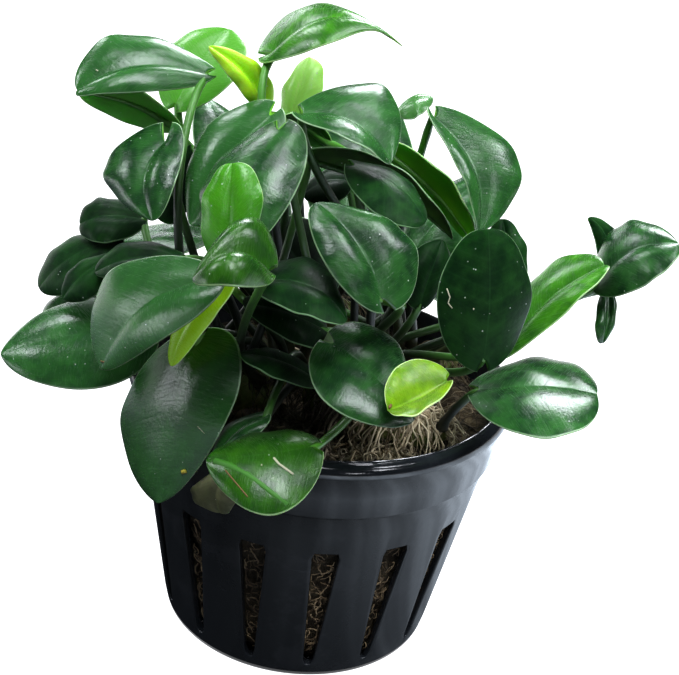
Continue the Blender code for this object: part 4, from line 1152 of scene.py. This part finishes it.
def make_fine_rockwool():
    rows = []
    for row in range(PLUG_ROWS):
        height = FLOOR + GAP + (ROCKWOOL_TOP - 1.0 * MM - FLOOR - GAP) * row / (PLUG_ROWS - 1)
        radius = inner_radius(height) - ROCKWOOL_GAP
        ring = []
        for side in range(PLUG_SIDES):
            angle = math.tau * side / PLUG_SIDES
            place = Vector((radius * math.cos(angle), radius * math.sin(angle), height))
            dent = 0.9 * MM * (noise.fractal(place * 420.0, 1.0, 2.0, 4) - 0.35)
            reach = radius + min(0.25 * MM, dent)
            ring.append((reach * math.cos(angle), reach * math.sin(angle), height))
        rows.append(ring)
    rim = inner_radius(ROCKWOOL_TOP) - GAP - 0.5 * MM
    for row in range(TOP_ROWS):
        radius = rim * (1 - row / TOP_ROWS)
        ring = []
        for side in range(PLUG_SIDES):
            angle = math.tau * side / PLUG_SIDES
            x, y = radius * math.cos(angle), radius * math.sin(angle)
            ring.append((x, y, plug_height(x, y)))
        rows.append(ring)
    vertices, faces = join_rings(rows, tip=(0.0, 0.0, plug_height(0.0, 0.0)))
    item = outward(add_piece("rockwool_fine", vertices, faces, [fibre_body()]))
    return stand_for(item, "rockwool", "rockwool")


def curly_line(start, heading, steps, stride, curl, draw):
    """A wandering line on the ground plan, as (x, y) points."""
    place = np.array(start, dtype=float)
    points = [place.copy()]
    turn = heading
    bend = draw.normal(0.0, curl)
    for _ in range(steps):
        bend = 0.7 * bend + draw.normal(0.0, curl)
        turn += bend
        place = place + stride * np.array((math.cos(turn), math.sin(turn)))
        points.append(place.copy())
    return points


def rhizome_cover():
    """A function that gives the height of the rhizomes' upper skin at a place, or 0 beside them."""
    centres, radii = [], []
    for name in RHIZOMES:
        for step in range(RHIZOME_STEPS + 1):
            share = step / RHIZOME_STEPS
            centres.append(rhizome_point(name, share)[0][:2])
            radii.append(rhizome_radius(share))
    centres, radii = np.array(centres), np.array(radii)

    def height(x, y):
        beside = np.hypot(centres[:, 0] - x, centres[:, 1] - y)
        over = radii ** 2 - beside ** 2
        best = float(over.max())
        return RHIZOME_HEIGHT + math.sqrt(best) if best > 0 else 0.0

    return height


def lay_strand(batch, start, heading, steps, stride, curl, lift, thick, cover, draw, sides=4):
    """One curly strand that lies on the rockwool and over the rhizomes."""
    line = curly_line(start, heading, steps, stride, curl, draw)
    points = []
    bed = None
    for step, (x, y) in enumerate(line):
        reach = math.hypot(x, y)
        if reach > STRAND_LIMIT:
            x, y = x * STRAND_LIMIT / reach, y * STRAND_LIMIT / reach
        under = max(plug_height(x, y), cover(x, y)) + 0.05 * MM
        bed = under if bed is None else min(bed + stride, max(bed - stride, under))
        points.append((x, y, bed + lift * math.sin(math.pi * step / steps)))
    swell = [math.sin(math.pi * (step + 0.5) / len(points)) for step in range(len(points))]
    vertices, faces = tube(np.array(points), [thick * (0.4 + 0.6 * size) for size in swell], sides)
    batch.add(vertices, faces, 0, tone=draw.random(), shade=shade_at(points[len(points) // 2], UP))


def make_strands():
    """Loose fibres and hair roots on top of the rockwool."""
    draw = np.random.default_rng(41)
    batch = Batch()
    cover = rhizome_cover()
    for _ in range(STRANDS):
        radius = STRAND_LIMIT * math.sqrt(draw.random())
        angle = draw.random() * math.tau
        start = (radius * math.cos(angle), radius * math.sin(angle))
        lay_strand(batch, start, draw.random() * math.tau, 9, 0.55 * MM, 0.35,
                   abs(draw.normal(0.0, 0.35)) * MM, (0.045 + 0.07 * draw.random() ** 3) * MM, cover, draw)
    item = batch.piece("fibre_strands", [strand_skin("fibre_strand", colour(0.07, 0.045, 0.02),
                                                     colour(0.55, 0.45, 0.28), 0.8)])
    return stand_for(item, "rockwool")


def make_root_mat():
    """The matted roots round the front rhizome: thicker strands, most of them pale tan."""
    draw = np.random.default_rng(17)
    batch = Batch()
    cover = rhizome_cover()
    for _ in range(ROOTS):
        along = draw.random()
        centre = rhizome_point("rhizome_front", along)[0][:2] + np.array(ROOT_SHIFT)
        start = centre + np.array((draw.normal(0.0, 4.2), draw.normal(0.0, 3.2))) * MM
        lay_strand(batch, start, draw.random() * math.tau, 9, 0.5 * MM, 0.6, abs(draw.normal(0.0, 0.9)) * MM,
                   (0.09 + 0.13 * draw.random() ** 2) * MM, cover, draw, 5)
    item = batch.piece("root_mat", [strand_skin("root_strand", colour(0.24, 0.18, 0.09),
                                                colour(0.9, 0.8, 0.58), 0.7)])
    return stand_for(item, "rockwool")


def make_slot_strands():
    """Fibres that fill the pot's slots, on the side of the plug."""
    draw = np.random.default_rng(5)
    batch = Batch()
    for slot in range(SLOT_COUNT):
        middle = FIRST_SLOT_ANGLE + slot * math.tau / SLOT_COUNT
        for _ in range(STRANDS_A_SLOT):
            height = SLOT_BOTTOM + (0.04 + 0.92 * draw.random()) * (SLOT_TOP - SLOT_BOTTOM)
            turn = (2 * draw.random() - 1) * slot_half_angle(height)
            lean = draw.normal(0.0, 0.9)
            bow = draw.random() * 0.45 * MM
            points = []
            for step in range(SLOT_STRAND_STEPS + 1):
                share = step / SLOT_STRAND_STEPS
                turn += 0.3 * MM * math.sin(lean) / WALL_RADIUS_AT_BASE
                height += 0.3 * MM * math.cos(lean)
                lean += draw.normal(0.0, 0.5)
                low, high = SLOT_BOTTOM + 0.3 * MM, SLOT_TOP - 0.3 * MM
                height = min(high, max(low, height))
                limit = 0.86 * slot_half_angle(height)
                turn = min(limit, max(-limit, turn))
                reach = wall_radius(height) - WALL - 0.3 * MM + bow * math.sin(math.pi * share)
                points.append((reach * math.cos(middle + turn), reach * math.sin(middle + turn), height))
            thick = (0.05 + 0.06 * draw.random()) * MM
            vertices, faces = tube(np.array(points) + draw.normal(0.0, 1e-6, (len(points), 3)),
                                   [thick] * len(points), 4)
            batch.add(vertices, faces, 0, tone=draw.random() ** 1.5)
    item = batch.piece("slot_strands", [strand_skin("slot_strand", colour(0.12, 0.08, 0.04),
                                                    colour(0.6, 0.45, 0.26), 0.85)])
    return stand_for(item, "rockwool")


# Rhizomes

FINE_RINGS = 72
FINE_SIDES = 32
RHIZOME_SCARS = 9


def rhizome_scar(share):
    """How deep a ring scar is at a place along a rhizome, from 0 to 1."""
    return max(0.0, math.cos(math.tau * RHIZOME_SCARS * share)) ** 12


def make_fine_rhizomes():
    skin = rhizome_skin()
    for name in RHIZOMES:
        rings, scars = [], []
        for row in range(FINE_RINGS):
            share = row / (FINE_RINGS - 1)
            centre, along = rhizome_point(name, share)
            side = unit(np.cross(along, UP))
            ring = []
            for step in range(FINE_SIDES):
                angle = math.tau * step / FINE_SIDES
                offset = side * math.cos(angle) + UP * math.sin(angle)
                place = centre + offset * rhizome_radius(share)
                lump = 0.35 * MM * noise.fractal(Vector(place) * 600.0, 1.0, 2.0, 3)
                ring.append(place + offset * (lump - 0.1 * MM * rhizome_scar(share)))
                scars.append(rhizome_scar(share))
            rings.append(ring)
        vertices, faces = join_rings(rings)
        item = outward(add_piece(name + "_fine", vertices, faces, [skin], attributes={"scar": scars}))
        stand_for(item, "rhizome", name)


# Floor, light and camera

LILAC_WHITE = (0.92, 0.94, 1.0)
LIGHTS_AIM = (0.0, 0.0, 0.055)      # the middle of the plant
FLOOR_REACH = 3.0
FLOOR_GLOW = 1.6
CARD_REACH = 0.4
CARD_BACK = 0.1                     # the card ends behind the pot
CARD_LEVEL = 0.001
CARD_GLOW = 3.6
SENSOR_WIDTH = 36.0                 # mm


def glowing_sheet(name, low, high, level, shader, tint, strength):
    """A level sheet from one (x, y) corner to the other that gives light and reflects none."""
    mesh = bpy.data.meshes.new(name)
    mesh.from_pydata([(low[0], low[1], level), (high[0], low[1], level), (high[0], high[1], level),
                      (low[0], high[1], level)], [], [(0, 1, 2, 3)])
    mesh.materials.append(shader.finish(Base_Color=colour(0.0, 0.0, 0.0), Roughness=1.0, IOR=1.0,
                                        Emission_Color=tint, Emission_Strength=strength))
    sheet = bpy.data.objects.new(name, mesh)
    bpy.context.scene.collection.objects.link(sheet)
    sheet.visible_diffuse = False
    return sheet


def make_floor():
    floor = glowing_sheet("floor", (-FLOOR_REACH, -FLOOR_REACH), (FLOOR_REACH, FLOOR_REACH), 0.0,
                          Shader("floor"), colour(0.97, 0.98, 1.0), FLOOR_GLOW)


def make_reflection_card():
    """What the pot's wall mirrors of the table, from a glowing sheet seen only in reflections: painted shadow
    keeps it dark near the pot and to its left, bright to its right, with painted reflection streaks.
    """
    shader = Shader("reflection_card")
    place = shader.place()
    distance = shader.node("ShaderNodeVectorMath", {0: place}, operation="LENGTH").outputs["Value"]
    heading = shader.node("ShaderNodeVectorMath", {0: place}, operation="NORMALIZE").outputs["Vector"]
    across = shader.node("ShaderNodeSeparateXYZ", {0: place}).outputs["X"]
    # Painted shadow: the glow is dimmer to the pot's left and close to the pot.
    side = shader.ramp(across, -0.07, 0.07, 0.4, 1.0)
    reach = shader.plus(distance, shader.times(across, 0.7))
    glow_with_painted_shadow = shader.times(shader.ramp(reach, 0.0, 0.15), side)
    # Painted reflection streaks: the glow varies with direction around the pot, for soft upright streaks on
    # its wall.
    streaks = shader.ramp(shader.noise(5.0, 3.0, 0.6, heading), 0.3, 0.7, 0.7, 1.3)
    strength = shader.times(shader.times(glow_with_painted_shadow, streaks), CARD_GLOW)
    card = glowing_sheet("reflection_card", (-CARD_REACH, -CARD_REACH), (CARD_REACH, CARD_BACK), CARD_LEVEL,
                         shader, colour(0.78, 0.88, 1.0), strength)
    card.visible_camera = False
    card.visible_shadow = False


def soft_box(name, azimuth, elevation, distance, width, height, brightness, tint=LILAC_WHITE):
    """A rectangular light that faces the plant, placed by its direction from it in degrees."""
    lamp = bpy.data.lights.new(name, "AREA")
    lamp.shape = "RECTANGLE"
    lamp.size = width
    lamp.size_y = height
    lamp.energy = math.pi * width * height * brightness
    lamp.color = tint
    item = bpy.data.objects.new(name, lamp)
    turn, rise = math.radians(azimuth), math.radians(elevation)
    away = Vector((math.cos(rise) * math.cos(turn), math.cos(rise) * math.sin(turn), math.sin(rise)))
    item.location = Vector(LIGHTS_AIM) + away * distance
    item.rotation_euler = away.to_track_quat("Z", "Y").to_euler()
    bpy.context.scene.collection.objects.link(item)
    return item


def make_world():
    world = bpy.data.worlds.new("studio")
    bpy.context.scene.world = world
    world.use_nodes = True
    backdrop = world.node_tree.nodes["Background"]
    backdrop.inputs["Color"].default_value = (0.86, 0.9, 1.0, 1.0)
    backdrop.inputs["Strength"].default_value = 0.06


def make_camera():
    data = bpy.data.cameras.new("camera")
    data.sensor_width = SENSOR_WIDTH
    data.lens = EYE_FOCAL * SENSOR_WIDTH / PICTURE_WIDTH
    item = bpy.data.objects.new("camera", data)
    turn = Matrix([Vector(axis) for axis in (EYE_RIGHT, EYE_UP, EYE_BACK)]).transposed().to_4x4()
    item.matrix_world = Matrix.Translation(Vector(EYE)) @ turn
    data.clip_start = 0.01
    data.clip_end = 20.0
    bpy.context.scene.collection.objects.link(item)
    bpy.context.scene.camera = item


# The model

make_camera()
make_world()
make_floor()
soft_box("back_light", 84, 38, 1.0, 0.4, 0.28, 26.0)
soft_box("back_left_light", 134, 34, 0.9, 0.2, 0.2, 14.0)
soft_box("back_low_light", 112, 9, 0.9, 0.26, 0.09, 6.0)
soft_box("high_back_light", 62, 66, 0.9, 0.12, 0.1, 18.0)
soft_box("high_front_light", -86, 63, 0.9, 0.34, 0.32, 20.0)
soft_box("top_light", -112, 81, 0.9, 0.15, 0.15, 24.0)
soft_box("high_right_light", -25, 58, 0.9, 0.14, 0.12, 22.0)
soft_box("right_light", 3, 47, 0.9, 0.24, 0.24, 22.0)
soft_box("right_front_light", -43, 40, 0.9, 0.14, 0.14, 16.0)
soft_box("front_right_light", -64, 20, 0.9, 0.12, 0.12, 10.0)
soft_box("left_light", -172, 1, 0.9, 0.5, 0.12, 8.0)
soft_box("left_high_light", 176, 35, 0.9, 0.24, 0.16, 20.0)
soft_box("high_left_light", -168, 69, 0.9, 0.14, 0.12, 18.0)
soft_box("window_pane_left", 72, 80, 0.9, 0.14, 0.1, 26.0)
soft_box("window_pane_middle", 38, 76, 0.9, 0.045, 0.08, 26.0)
soft_box("window_pane_right", 30, 73, 0.9, 0.04, 0.08, 26.0)
make_reflection_card()
make_fine_pot()
make_fine_rockwool()
make_strands()
make_root_mat()
make_slot_strands()
make_fine_rhizomes()

place_leaves()
make_fine_leaves()

bpy.context.scene.view_settings.view_transform = "Standard"
bpy.context.scene.view_settings.gamma = 0.86
